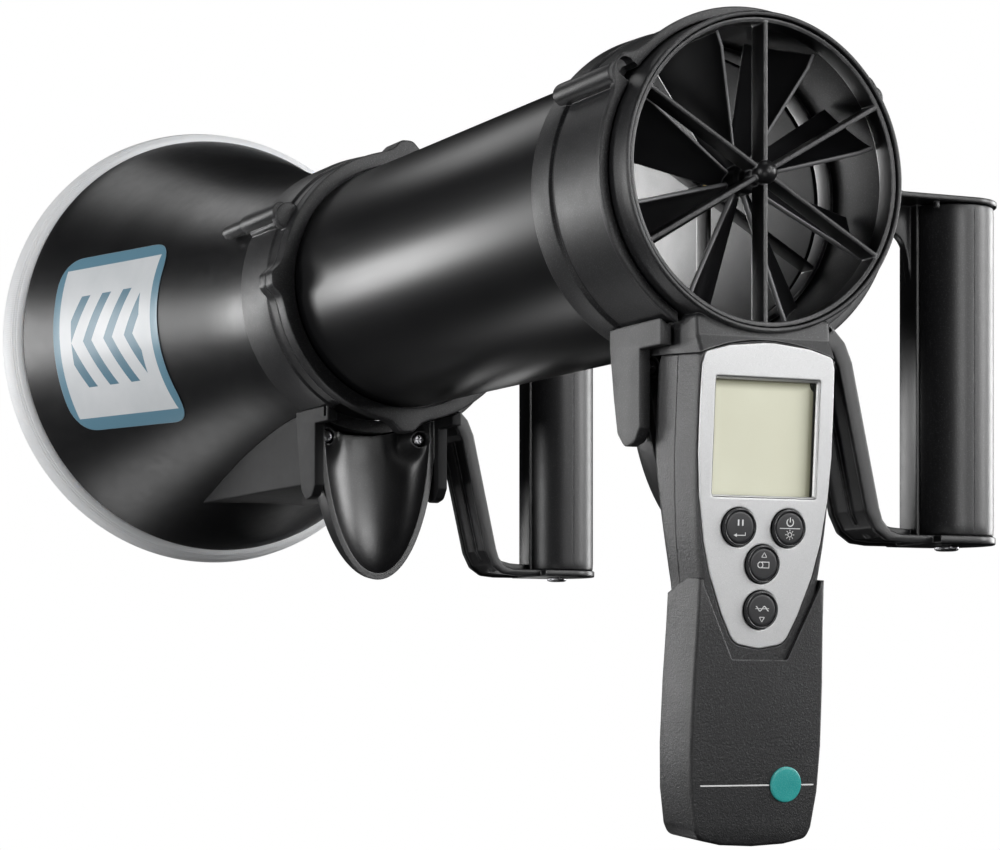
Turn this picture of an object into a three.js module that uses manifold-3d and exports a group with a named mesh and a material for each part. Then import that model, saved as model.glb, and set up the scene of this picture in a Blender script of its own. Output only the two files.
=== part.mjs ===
// Vane anemometer with a volume-flow straightener and an air-outlet funnel. Millimetres.
// The duct runs along Y, from the vane's front rim at y = 0 back to the funnel at +Y.
// +Z is up, the handset hangs along -Z and both grips stand on the +X side.
// The finished group is moved so that its bounding box is centred on the origin.
import * as THREE from 'three';
import { mergeVertices } from 'three/addons/utils/BufferGeometryUtils.js';
import Module from 'manifold-3d';

const wasm = await Module();
wasm.setup();
const { Manifold, Mesh: ManifoldMesh } = wasm;

// ---------- driving dimensions ----------
// Stations along the duct
const COLLAR_Y = 11.2; // front collar's front face
const COLLAR_LEN = 47.8;
const SEAT_Y = 46.2; // step in the front collar's bore
const TUBE_START = 46.6;
const TUBE_END = 286.2;
const FLANGE_Y = 282; // rear collar's flange
const FLANGE_END = 289.2;
const ADAPTER_Y = 289.5;
const ADAPTER_END = 325;
const BELL_END = 502.6;
const SEAL_END = 520;

// Radii about the duct axis
const RING_R = 52.5; // vane ring
const RING_BORE = 49.8;
const SOCKET_R = 53.1; // bore of the front collar and the funnel adapter
const COLLAR_R = 56.5;
const TUBE_R = 50.1;
const TUBE_BORE = 47.8;
const FRONT_SEAT_R = 50.9; // collar bores round the tube's ends
const REAR_SEAT_R = 50.85;
const SPIGOT_R = 52.4; // rear collar's spigot, inside the funnel adapter
const SPIGOT_BORE = 49.8;

const RING_DEPTH = 45;
const SEG = 40;
const RING_SEG = 48;
const FUNNEL_SEG = 44;
const HUB_SEG = 20;
const SIDES = [['left', -1], ['right', 1]]; // -X and +X

// ---------- finishes ----------
const FINISH = {
  grained: { color: 0x1b1b1d, roughness: 0.62 },
  gloss: { color: 0x101012, roughness: 0.28 },
  satin: { color: 0x151517, roughness: 0.42 },
  steel: { color: 0x9a9da1, roughness: 0.32, metalness: 0.95 },
  brass: { color: 0xb08d4a, roughness: 0.35, metalness: 0.9 },
  honeycomb: { color: 0xb9b7b0, roughness: 0.55 },
  grip: { color: 0x141416, roughness: 0.5 },
  seal: { color: 0xe9eaec, roughness: 0.45 },
  label: { color: 0xd9dde0, roughness: 0.5 },
  impeller: { color: 0x131315, roughness: 0.38 },
  faceplate: { color: 0xb9bbbd, roughness: 0.34, metalness: 0.75 },
  pickup: { color: 0x2c2c30, roughness: 0.4, metalness: 0.2 },
  window: { color: 0xb9bba5, roughness: 0.12 },
  display: { color: 0xb0b39a, roughness: 0.4 },
  board: { color: 0x1f5a33, roughness: 0.5 },
  keypad: { color: 0x55565a, roughness: 0.75 },
  button: { color: 0x17181a, roughness: 0.4 },
  battery: { color: 0x3b4a63, roughness: 0.4, metalness: 0.3 },
  batterySnap: { color: 0x202022, roughness: 0.6 },
  badge: { color: 0x2f8f8a, roughness: 0.35 },
};

// ---------- solids ----------
// Weld a geometry, drop its collapsed triangles and turn it outward for Manifold
function solid(geometry) {
  const bare = new THREE.BufferGeometry();
  bare.setAttribute('position', geometry.getAttribute('position'));
  bare.setIndex(geometry.index);
  const welded = mergeVertices(bare, 1e-4);
  const position = welded.getAttribute('position');
  const index = welded.index.array;
  const corners = [0, 1, 2].map(() => new THREE.Vector3());
  const triangles = [];
  let volume = 0;
  for (let i = 0; i < index.length; i += 3) {
    const triangle = [index[i], index[i + 1], index[i + 2]];
    if (new Set(triangle).size < 3) continue;
    triangles.push(...triangle);
    const [a, b, c] = corners.map((v, k) => v.fromBufferAttribute(position, triangle[k]));
    volume += a.dot(b.cross(c)) / 6;
  }
  if (volume < 0) triangles.reverse();
  return new Manifold(new ManifoldMesh({
    numProp: 3,
    vertProperties: new Float32Array(position.array),
    triVerts: new Uint32Array(triangles),
  }));
}

const group = new THREE.Group();
function put(name, piece, finish, parent = group) {
  const { vertProperties, triVerts } = piece.getMesh();
  const geometry = new THREE.BufferGeometry();
  geometry.setAttribute('position', new THREE.BufferAttribute(new Float32Array(vertProperties), 3));
  geometry.setIndex(new THREE.BufferAttribute(new Uint32Array(triVerts), 1));
  const mesh = new THREE.Mesh(geometry, new THREE.MeshStandardMaterial(finish));
  mesh.name = name;
  parent.add(mesh);
}

const add = (first, ...others) => others.reduce((sum, other) => sum.add(other), first);
const cut = (body, ...tools) => tools.reduce((rest, tool) => rest.subtract(tool), body);
const rad = THREE.MathUtils.degToRad;
const polar = (r, deg) => [r * Math.cos(rad(deg)), r * Math.sin(rad(deg))];
const vectors = points => points.map(([x, y]) => new THREE.Vector2(x, y));

// Extrude a Shape or a list of points, then send each point through `place`
function prism(outline, depth, place) {
  const shape = Array.isArray(outline) ? new THREE.Shape(vectors(outline)) : outline;
  const options = { depth, bevelEnabled: false, steps: 1, curveSegments: 8 };
  const geometry = new THREE.ExtrudeGeometry(shape, options);
  const position = geometry.getAttribute('position');
  for (let i = 0; i < position.count; i++) {
    position.setXYZ(i, ...place(position.getX(i), position.getY(i), position.getZ(i)));
  }
  return solid(geometry);
}
// Outline in y,z run along X; in x,z run along Y; in x,y run along Z
const prismX = (outline, x0, x1) => prism(outline, x1 - x0, (y, z, run) => [x0 + run, y, z]);
const prismY = (outline, y0, y1) => prism(outline, y1 - y0, (x, z, run) => [x, y0 + run, z]);
const prismZ = (outline, z0, z1) => prism(outline, z1 - z0, (x, y, run) => [x, y, z0 + run]);

// Closed profile of [radius, y] turned about the duct axis
const lathe = (profile, seg = SEG) =>
  solid(new THREE.LatheGeometry(vectors([...profile, profile[0]]), seg));

// Box centred on x = 0; `top` and `bottom` are distances down from z = 0
const slab = (halfWidth, y0, y1, top, bottom) =>
  solid(new THREE.BoxGeometry(2 * halfWidth, y1 - y0, bottom - top)
    .translate(0, (y0 + y1) / 2, -(top + bottom) / 2));

const rodY = (x, z, r, y0, y1, seg = HUB_SEG) =>
  solid(new THREE.CylinderGeometry(r, r, y1 - y0, seg).translate(x, (y0 + y1) / 2, z));
const rodZ = (x, y, r, z0, z1, seg) =>
  solid(new THREE.CylinderGeometry(r, r, z1 - z0, seg)
    .rotateX(Math.PI / 2).translate(x, y, (z0 + z1) / 2));
const axial = (r, y0, y1, seg = SEG) => rodY(0, 0, r, y0, y1, seg);
const ball = (x, y, z, r, seg) =>
  solid(new THREE.SphereGeometry(r, seg, Math.round(seg * 0.6))
    .rotateX(Math.PI / 2).translate(x, y, z));

// Rods along Y at several angles round the duct
const rodsAt = (angles, pitchR, r, y0, y1, seg = 16) =>
  angles.map(deg => rodY(...polar(pitchR, deg), r, y0, y1, seg));

// [half-width, distance down] list -> closed symmetric outline in x,z
const mirrored = half => [
  ...half.map(([x, down]) => [-x, -down]),
  ...half.map(([x, down]) => [x, -down]).reverse(),
];

// ---------- straightener ----------
const LUG_ROD_LEN = 38;

// Long round-ended rod beside a collar, with an optional thinner nose
function lugRod(y0, deg, pitchR, noseEnd) {
  const [x, z] = polar(pitchR, deg);
  const end = y0 + LUG_ROD_LEN;
  const rod = rodY(x, z, 3.9, y0, end, 12);
  if (!noseEnd) return add(rod, ball(x, end, z, 3.9, 10));
  return add(rod, rodY(x, z, 3.1, end - 1, noseEnd, 12), ball(x, noseEnd, z, 3.1, 10));
}

// Opening in the underside of a collar
const neckSlot = (y0, y1) => slab(27.2, y0, y1, 20, 75);

// Socket for the vane ring and seat for the tube
function frontCollar() {
  const y0 = COLLAR_Y;
  const y1 = COLLAR_Y + COLLAR_LEN;
  const lugs = [35, 145];
  const body = lathe([
    [SOCKET_R, y0], [56.2, y0], [56.2, y0 + 2.4], [55.3, y0 + 3.2], [55.3, 44.2], [54.6, 45.0],
    [54.6, 46.4], [56.0, 47.2], [COLLAR_R, y1], [FRONT_SEAT_R, y1], [FRONT_SEAT_R, SEAT_Y],
    [SOCKET_R, SEAT_Y],
  ]);
  const collar = add(
    body,
    ...rodsAt(lugs, 55.0, 5.6, y0, y0 + 4.5),
    ...[32, 148].map(deg => lugRod(y0, deg, 57.6)),
  );
  return cut(
    collar,
    axial(SOCKET_R, y0 - 1, SEAT_Y),
    axial(FRONT_SEAT_R, SEAT_Y - 0.2, 70),
    ...rodsAt(lugs, 56.9, 1.7, y0 - 1, y0 + 7, 12),
    neckSlot(y0 - 1, 38),
  );
}

// Flange on the tube's end and the spigot the funnel slips on
function rearCollar() {
  const seatEnd = 286.6;
  const body = lathe([
    [REAR_SEAT_R, FLANGE_Y], [COLLAR_R, FLANGE_Y], [COLLAR_R, FLANGE_END],
    [SPIGOT_R, FLANGE_END], [SPIGOT_R, 324], [SPIGOT_BORE, 324],
    [SPIGOT_BORE, seatEnd], [REAR_SEAT_R, seatEnd],
  ]);
  return cut(
    add(body, ...rodsAt([0, 90, 180, 270], 56.6, 4.6, FLANGE_Y, FLANGE_END)),
    axial(REAR_SEAT_R, FLANGE_Y - 1, seatEnd),
    axial(SPIGOT_BORE, seatEnd - 0.6, 290),
  );
}

// Disc pierced by every hexagonal cell that fits inside its rim
function honeycomb() {
  const pitch = 14.6;
  const cellR = 7.75; // centre to corner
  const rimInner = 46.6;
  const y0 = 256;
  const y1 = 276;
  const corners = [30, 90, 150, 210, 270, 330].map(deg => polar(cellR, deg));
  const cells = [];
  for (let q = -4; q <= 4; q++) {
    for (let r = -4; r <= 4; r++) {
      const x = pitch * (q + r / 2);
      const z = pitch * r * Math.sqrt(3) / 2;
      if (Math.hypot(x, z) + cellR >= rimInner) continue;
      cells.push(prismY(corners.map(([dx, dz]) => [x + dx, z + dz]), y0 - 1, y1 + 1));
    }
  }
  return cut(axial(47.4, y0, y1), ...cells);
}

put('straightener_tube', lathe([
  [TUBE_R, TUBE_START], [TUBE_R, TUBE_END], [TUBE_BORE, TUBE_END], [TUBE_BORE, TUBE_START],
]), FINISH.gloss);
put('front_collar', frontCollar(), FINISH.grained);
put('rear_collar', rearCollar(), FINISH.grained);
put('honeycomb_insert', honeycomb(), FINISH.honeycomb);

// ---------- cradles ----------
// Each holds the handset's back; y is measured from its collar's front face
const MOUTH_Y = 23; // the cup's open front
const CUP_DEPTH = 22;
const CUP_BACK_Y = MOUTH_Y + CUP_DEPTH;
const CRADLE_SCREW_X = 21.6;
const CRADLE_SCREW_Z = -60.5;
// Cup's side profiles: [y from the mouth, z]
const CUP_OUTER = [
  [0, -40], [CUP_DEPTH, -40], [CUP_DEPTH, -78], [19.6, -90], [14.5, -104], [7.5, -115], [0, -124],
];
const CUP_INNER = [
  [-5, -30], [19.4, -30], [19.4, -77.5], [17.2, -88.8], [12.4, -102.2],
  [5.6, -113], [-0.2, -120.2], [-5, -124],
];
// Side cheek: [y, z]
const CHEEK = [
  [4.8, -42], [4.8, -56], [18.8, -56], [18.8, -82], [22, -86.5],
  [29, -88], [34, -83], [36.5, -71], [39.2, -54], [39.2, -42],
];

// Lower half of an ellipse about z = -54, squared off at topZ
function halfOval(halfWidth, drop, topZ) {
  const points = [];
  for (let k = 0; k <= 14; k++) {
    const angle = Math.PI + Math.PI * k / 14;
    points.push([halfWidth * Math.cos(angle), -54 + drop * Math.sin(angle)]);
  }
  return [...points, [halfWidth, topZ], [-halfWidth, topZ]];
}

// The collar's round outside is cleared from the cradle, with a second radius at the rear
function cradle(faceY, name, clearR, rearClearR) {
  const fromMouth = profile => prismX(profile.map(([y, z]) => [MOUTH_Y + y, z]), -40, 40);
  const screwRod = (side, r, y0, y1, seg) =>
    rodY(side * CRADLE_SCREW_X, CRADLE_SCREW_Z, r, MOUTH_Y + y0, MOUTH_Y + y1, seg);
  const both = build => [-1, 1].map(build);

  const outer = prismY(halfOval(27.3, 67.5, -44), MOUTH_Y, CUP_BACK_Y);
  const inner = prismY(halfOval(24.6, 64.7, -40), MOUTH_Y - 5, CUP_BACK_Y);
  let body = add(
    outer.intersect(fromMouth(CUP_OUTER)),
    prismX(CHEEK, 26.9, 31),
    prismX(CHEEK, -31, -26.9),
  );
  body = cut(body, inner.intersect(fromMouth(CUP_INNER)));
  body = add(body, ...both(side => screwRod(side, 4.4, 3, 21, 12).intersect(outer)));
  body = cut(
    body,
    ...both(side => screwRod(side, 3.3, -1, 8, 12)),
    ...both(side => screwRod(side, 1.8, 5, 23, 8)),
    axial(clearR, -5, 35.2),
    axial(rearClearR, 34.9, 50),
  );
  put(name, body.translate([0, faceY, 0]), FINISH.grained);
  for (const [tag, side] of SIDES) {
    const screw = add(screwRod(side, 2.9, 4.6, 7.4, 12), screwRod(side, 1.4, 7, 21.4, 8));
    put(`${name}_screw_${tag}`, screw.translate([0, faceY, 0]), FINISH.steel);
  }
}

// ---------- handles ----------
const GRIP_X = 90;
const GRIP_R = 16;
const GRIP_TOP = -2.4;
const GRIP_BOTTOM = -115.9;
const STRAP_BOTTOM = -118.9;
const STRAP_TOP = -116.2;
const HALF_WIDTH = 12; // bracket's half-width along the duct
const WEB_HALF = 1.6; // half-thickness of the webs
// Bracket outlines: [x, z]
const TOP_GUSSET = [[40, -1], [40, 14], [56.8, 7.5], [59.5, 3.6], [63, 1.2], [68, -0.4], [68, -1.2]];
const UNDER_WEB = [
  [73.4, -1.2], [73.4, -24], [71.5, -17.5], [68.5, -13.5], [64.5, -11.2],
  [58, -10.0], [50, -10], [50, -1.2],
];
const ARM = [
  [22, -50.5], [30, -52.3], [35.6, -55.5], [38.2, -60.5], [49.2, -108.5], [52.4, -114.8],
  [57.5, -118.2], [64, STRAP_BOTTOM], [GRIP_X, STRAP_BOTTOM], [GRIP_X, STRAP_TOP],
  [63, -116.0], [58.6, -114.6], [55.6, -111.3], [54.3, -107.3], [43.4, -58.6],
  [40.6, -52.2], [37, -48.5], [30, -43], [22, -38],
];
const CORNER_WEB = [
  [55.0, -104], [57.2, -109.2], [61.0, -111.8], [66, -113.0], [73.2, -113.6],
  [73.2, -117.2], [58, -117.2], [53.6, -112], [53.2, -104],
];

// Flat plate from x0 to the grip, rounded about the grip's axis
function gripPlate(r, x0, z0, z1) {
  const shape = new THREE.Shape();
  shape.moveTo(x0, -r);
  shape.lineTo(GRIP_X, -r);
  shape.absarc(GRIP_X, 0, r, -Math.PI / 2, Math.PI / 2, false);
  shape.lineTo(x0, r);
  shape.closePath();
  return prismZ(shape, z0, z1);
}

// Bracket, grip and screw, drawn about the grip's axis at y = 0 and moved to gripY
function handle(gripY, prefix, collarR) {
  const place = (part, piece, finish) =>
    put(`${prefix}_${part}`, piece.translate([0, gripY, 0]), finish);

  // Saddle round the side of the collar, joining the top plate to the arm
  const wedge = [[0, 0], ...[9, -10, -30, -50, -66].map(deg => polar(90, deg))];
  const saddle = lathe([
    [collarR - 1, -HALF_WIDTH], [collarR + 3.4, -HALF_WIDTH],
    [collarR + 3.4, HALF_WIDTH], [collarR - 1, HALF_WIDTH],
  ]).intersect(prismY(wedge, -HALF_WIDTH - 1, HALF_WIDTH + 1));
  const bracket = add(
    gripPlate(17.0, 40, -2.1, -0.2),
    prismY(TOP_GUSSET, -HALF_WIDTH, HALF_WIDTH),
    prismY(UNDER_WEB, -WEB_HALF, WEB_HALF),
    prismY(ARM, -HALF_WIDTH, HALF_WIDTH),
    gripPlate(16.6, 76, STRAP_BOTTOM, STRAP_TOP),
    prismY(CORNER_WEB, -WEB_HALF, WEB_HALF),
    saddle,
  );
  place('handle_bracket', cut(
    bracket,
    axial(collarR, -40, 40),
    rodZ(GRIP_X, 0, 2.5, -125, -110, 16), // screw hole
    slab(31.4, -40, 40, 0, 130), // trims the inner end beside the cradle
  ), FINISH.satin);
  place('grip', cut(
    rodZ(GRIP_X, 0, GRIP_R, GRIP_BOTTOM, GRIP_TOP, 32),
    rodZ(GRIP_X, 0, 1.9, GRIP_BOTTOM - 1, GRIP_BOTTOM + 18, 14),
  ), FINISH.grip);
  place('grip_screw', add(
    rodZ(GRIP_X, 0, 4.2, -120.8, -119.3, 16),
    rodZ(GRIP_X, 0, 1.55, -119.6, GRIP_BOTTOM + 16, 14),
  ), FINISH.steel);
}

cradle(COLLAR_Y, 'front_cradle', 56.6, 56.9);
handle(28.3, 'front', 56.9);

// ---------- funnel ----------
// Outside and inside of the bell: [radius, y]
const BELL = [
  [55.4, 325.3], [56.6, 345], [60.2, 370], [66.2, 397],
  [72.6, 420], [79.6, 442.5], [88.4, 470], [100, BELL_END],
];
const BELL_INNER = [[97.4, BELL_END], [85.8, 470], [70.0, 420], [57.6, 370], [52.8, 325.3]];
const offset = (profile, distance) => profile.map(([r, y]) => [r + distance, y]);

function funnelAdapter() {
  const y0 = ADAPTER_Y;
  const step = 296.5;
  const body = lathe([
    [SOCKET_R, y0], [COLLAR_R, y0], [COLLAR_R, step], [57.6, 297.3], [58.2, 305],
    [58.2, ADAPTER_END - 1], [57.4, ADAPTER_END], [SOCKET_R, ADAPTER_END],
  ]);
  const lugs = [28.5, 151.5];
  const adapter = add(
    body,
    ...rodsAt([0, 90, 180], 56.6, 4.6, y0, step),
    ...rodsAt(lugs, 57.4, 5.6, y0, y0 + 5),
    ...lugs.map(deg => lugRod(y0, deg, 61.0, y0 + 60)),
  );
  return cut(adapter, axial(SOCKET_R, y0 - 1, ADAPTER_END), neckSlot(y0 - 1, 316));
}

// Open-topped box under the bell, behind the rear cradle
function bellGusset() {
  const clear = offset(BELL, 0.35);
  const mouthR = clear.at(-1)[0];
  return cut(
    slab(26, ADAPTER_END + 9.5, 462, 50, 80.5),
    slab(23.8, ADAPTER_END, 466, 40, 78.2),
    lathe([[0, 320], [clear[0][0], 320], ...clear, [mouthR, 520], [0, 520]], FUNNEL_SEG),
  );
}

// Rounded rectangle wrapped on the bell's -X side
function funnelLabel() {
  const [y0, y1, z0, z1] = [403, 480, -47, 33];
  const r = 14;
  const centres = [[y1 - r, z0 + r], [y1 - r, z1 - r], [y0 + r, z1 - r], [y0 + r, z0 + r]];
  const shape = new THREE.Shape();
  centres.forEach(([y, z], k) => {
    shape.absarc(y, z, r, (k - 1) * Math.PI / 2, k * Math.PI / 2, false);
  });
  const wide = BELL.filter(([, y]) => y > 360);
  const skin = lathe([...offset(wide, 0.75), ...offset(wide, 0.3).reverse()], FUNNEL_SEG);
  return skin.intersect(prismX(shape, -120, -30));
}

put('funnel_adapter', funnelAdapter(), FINISH.grained);
put('funnel_cone', lathe([...BELL, ...BELL_INNER], FUNNEL_SEG), FINISH.satin);
put('funnel_seal_ring', lathe([
  [98.4, 503], [101.2, 503], [104.0, 508], [105.4, 515], [104.6, SEAL_END], [98.4, SEAL_END],
], FUNNEL_SEG), FINISH.seal);
cradle(ADAPTER_Y, 'rear_cradle', 58.6, 58.6);
handle(319.7, 'rear', 58.7);
put('bell_gusset', bellGusset(), FINISH.satin);
put('funnel_label', funnelLabel(), FINISH.label);

// ---------- vane head ----------
const HANDSET_TILT = 4.2; // degrees, foot leaning back towards +Y
const HANDSET_PIVOT = [0, -1.0, -60.0];
const RIBS = 6;
const BLADES = 8;
const BLADE_PITCH = 45; // degrees
const BLADE_PHASE = 25.2; // degrees
const BLADE_THICKNESS = 1.1;
const BLADE_Y = 19.2; // where the blades' reference line crosses the axis
const BLADE = [[4.2, -1.6], [42.8, -12.3], [47.8, -12.6], [47.8, 12.6], [4.2, 5.2]]; // [r, chord]
const BEARING_POCKET_R = 2.95;

// Arched top edge of the handset in x,z
function archTop(halfWidth, lift) {
  const points = [];
  for (let k = 0; k <= 10; k++) {
    const x = -halfWidth + 2 * halfWidth * k / 10;
    points.push([x, lift + 4.6 - 5.1 * (x / 25.5) ** 2]);
  }
  return points;
}

// Vane ring with a neck trimmed to the tilted handset's top
function vaneHousing() {
  const ring = lathe([
    [50.9, 0], [52.0, 0], [RING_R, 0.7], [RING_R, RING_DEPTH],
    [RING_BORE, RING_DEPTH], [RING_BORE, 9.4], [50.9, 9.0],
  ], RING_SEG);
  const neck = prismX([
    [2.6, -47], [2.0, -54], [-1.2, -60.8], [-1.2, -64], [32.5, -64], [33.0, -57], [33.5, -46],
  ], -25.6, 25.6);
  const handsetTop = prismY([...archTop(30, 0.35), [30, -20], [-30, -20]], -10, 45)
    .rotate([HANDSET_TILT, 0, 0]).translate(HANDSET_PIVOT);
  return add(ring, cut(neck, handsetTop, axial(51.5, -5, 60, RING_SEG)));
}

// Guard: rim, radial ribs and hub
function guard(y0, y1, rimOuter, rimInner, hubR) {
  const length = rimInner + 0.6;
  const rim = lathe([[rimInner, y0], [rimOuter, y0], [rimOuter, y1], [rimInner, y1]]);
  const ribs = Array.from({ length: RIBS }, (_, k) =>
    solid(new THREE.BoxGeometry(length, y1 - y0, 1.8)
      .translate(length / 2, (y0 + y1) / 2, 0)
      .rotateY(-rad(30 + 360 / RIBS * k))));
  return add(rim, ...ribs, axial(hubR, y0, y1, HUB_SEG));
}

const bearing = (y0, y1) => cut(axial(2.6, y0, y1, HUB_SEG), axial(1.6, y0 - 0.5, y1 + 0.5, 24));

// Blade's radius runs outward; its pitched chord runs round the hub and back along the duct
function blade(k) {
  const [cos, sin] = polar(1, BLADE_PITCH);
  const [outX, outZ] = polar(1, BLADE_PHASE + 360 / BLADES * k);
  return prism(BLADE, BLADE_THICKNESS, (r, chord, run) => {
    const t = run - BLADE_THICKNESS / 2;
    const around = chord * cos - t * sin;
    return [r * outX - around * outZ, BLADE_Y + chord * sin + t * cos, r * outZ + around * outX];
  });
}

// Hub and blades, bored for the axle and trimmed to the running circle
function impeller() {
  const blades = Array.from({ length: BLADES }, (_, k) => blade(k));
  return cut(add(axial(5.2, 11.6, 31.4, HUB_SEG), ...blades), axial(1.85, 10, 40, HUB_SEG))
    .intersect(axial(48.6, 5, 36.4));
}

put('vane_housing', vaneHousing(), FINISH.grained);
put('front_guard', cut(
  add(guard(1.0, 8.8, 50.4, 48.9, 3.9), ball(0, 1.6, 0, 3.9, 16)),
  axial(BEARING_POCKET_R, 4.2, 9.5, HUB_SEG),
), FINISH.satin);
put('rear_guard', cut(
  guard(37.2, 44.6, 49.4, 47.8, 4.4),
  axial(BEARING_POCKET_R, 36, 42.0, HUB_SEG),
), FINISH.satin);
put('front_bearing', bearing(4.6, 8.6), FINISH.brass);
put('rear_bearing', bearing(37.5, 41.6), FINISH.brass);
put('vane_axle', axial(1.5, 5.0, 41.3, 24), FINISH.steel);
put('impeller', impeller(), FINISH.impeller);

// ---------- handset ----------
// Drawn in its own frame: x across, y back from the face, -z down from the neck
const handset = new THREE.Group();
handset.position.set(...HANDSET_PIVOT);
handset.rotation.x = rad(HANDSET_TILT);
const putHandset = (name, piece, finish) => put(name, piece, finish, handset);

const WALL = 2.3;
const SPLIT_Y = 14.35; // rear shell's front edge
const FOOT = 154.6;
const BACK_Y = 31.6;
const BUTTON_R = 5.95;
const SCREW_X = 20.9;
const SCREW_Z = -8.5;
// Half outlines: [half-width, distance down]
const BODY = [
  [25.9, 3.4], [25.9, 32], [25.2, 47], [24.2, 60], [22.6, 72],
  [21.6, 82], [21.4, 120], [20.8, 146], [19.4, FOOT],
];
const PLATE = mirrored([
  [2, -3.9], [15.1, -2.6], [24.0, -0.2], [25.0, 3.6], [25.2, 16], [25.2, 32], [24.4, 46],
  [22.2, 61], [19.4, 72], [14.6, 84.5], [10.6, 92.4], [8.4, 94.4], [0, 95.9],
]);
const SLEEVE_OUTER = [
  [23.9, 73], [24.2, 90], [24.8, 107], [25.0, 128], [24.3, 143],
  [22.4, 155], [20.6, 158.6], [12, 160.4], [0, 161.0],
];
const SLEEVE_INNER = [[23.1, 60], [23.1, 72], [22.1, 83], [21.9, 128], [21.3, 146], [20.2, 155.2]];
// Back of the body: [y, distance down]
const BACK = [
  [BACK_Y, -6], [BACK_Y, 30], [29.4, 46], [26.8, 60], [25.0, 76], [23.9, 92], [23.6, 157],
];
// [name, x, distance down]
const BUTTONS = [
  ['hold_button', -9.4, 56.2], ['power_button', 9.4, 56.2],
  ['volume_button', 0, 68.1], ['mean_button', 0, 83.1],
];

const buttonHoles = r => BUTTONS.map(([, x, down]) => rodY(x, -down, r, -2, 4, 24));
const screwRods = (...rod) => [-1, 1].map(side => rodY(side * SCREW_X, SCREW_Z, ...rod));

const bodyOutline = inset => [
  ...mirrored(BODY.map(([x, down]) => [x - inset, down === FOOT ? down - inset : down])),
  ...archTop(25.5 - inset, -inset).reverse(),
];
const backProfile = inset => [
  [-5, 8], [BACK_Y - inset, 8], ...BACK.map(([y, down]) => [y - inset, -down]), [-5, -160],
];

function frontShell() {
  const body = prismY(bodyOutline(0), 0, 14).intersect(slab(30, -1, 20, -8, FOOT));
  // Pocket: the faceplate's outline, scaled up about z = -46
  const gap = 0.35;
  const pocket = PLATE.map(([x, z]) => [x * (1 + gap / 25), (z + 46) * (1 + gap / 50) - 46]);
  return add(
    cut(
      body,
      prismY(bodyOutline(WALL), 2.7, 15),
      prismY(pocket, -1, 1.25),
      slab(20.0, -2, 4, 7.2, 45.2),
      ...buttonHoles(6.4),
    ),
    cut(add(...screwRods(2.7, 2.5, 13.8, 14)), ...screwRods(1.6, 5.5, 15, 12)),
  );
}

function rearShell() {
  const layer = (inset, y0) =>
    prismY(bodyOutline(inset), y0, 34).intersect(prismX(backProfile(inset), -30, 30));
  const shell = cut(
    layer(0, SPLIT_Y),
    layer(WALL, 13),
    slab(17.4, 20.4, 40, 97, 170), // battery bay, open towards the foot
  );
  return cut(
    add(shell, ...screwRods(2.9, SPLIT_Y, 32.5, 14)),
    ...screwRods(2.35, 28.6, 34, 14),
    ...screwRods(1.6, 13, 33, 12),
  );
}

function lowerSleeve() {
  return cut(
    prismY(mirrored(SLEEVE_OUTER), -1.5, 19.8),
    prismY(mirrored(SLEEVE_INNER), -0.35, 25),
    // V recess round the faceplate's tip
    prismY(mirrored([[22.0, 60], [22.0, 75.5], [10.5, 99.4]]), -3, 0),
    // Top edge, sloping down towards the back
    prismX([[-3, -72], [4, -72], [22, -80], [22, -60], [-3, -60]], -30, 30),
  );
}

putHandset('handset_front_shell', frontShell(), FINISH.grained);
putHandset('handset_rear_shell', rearShell(), FINISH.grained);
const screwHeads = screwRods(2.0, 28.9, 31.2, 14);
const screwShanks = screwRods(1.25, 7.0, 29.2, 12);
SIDES.forEach(([tag], i) => {
  putHandset(`shell_screw_${tag}`, add(screwHeads[i], screwShanks[i]), FINISH.steel);
});
putHandset('lower_sleeve', lowerSleeve(), FINISH.grained);
putHandset('faceplate', cut(
  prismY(PLATE, -0.3, 0.9),
  slab(19.4, -2, 4, 8.0, 44.6),
  ...buttonHoles(BUTTON_R + 0.3),
), FINISH.faceplate);
putHandset('speed_pickup', rodZ(0, 21.5, 3.8, -7.0, 1.6, 18), FINISH.pickup);
putHandset('display_window', slab(19.6, 1.4, 2.3, 7.6, 44.8), FINISH.window);
putHandset('display_module', prismY(
  mirrored([[17.8, 5.2], [17.8, 11.8], [21, 11.8], [21, 47]]), 3.1, 8.2,
), FINISH.display);
putHandset('circuit_board', slab(17.8, 8.8, 10.4, 4.5, 98), FINISH.board);
putHandset('keypad_mat', slab(17, 3.4, 4.8, 48.5, 91), FINISH.keypad);
for (const [name, x, down] of BUTTONS) {
  putHandset(name, rodY(x, -down, BUTTON_R, -1.7, 2.3), FINISH.button);
}
putHandset('battery_block', slab(13.2, 3.2, 20.6, 102.4, 150.6), FINISH.battery);
putHandset('battery_snap', slab(12.6, 5.0, 19.0, 99.2, 102.0), FINISH.batterySnap);
putHandset('battery_cover', slab(17.1, 20.9, 23.4, 97.4, 158.2), FINISH.grained);
putHandset('badge', rodY(11.5, -140.5, 5.9, -2.3, -1.8), FINISH.badge);
group.add(handset);

// Centre the whole object's box on the origin
group.updateMatrixWorld(true);
const bounds = new THREE.Box3().setFromObject(group, true);
group.position.sub(bounds.getCenter(new THREE.Vector3()));
group.updateMatrixWorld(true);

export default group;
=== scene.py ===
import math

import bpy
import bmesh
from mathutils import Matrix, Vector
from mathutils.geometry import tessellate_polygon


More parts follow.
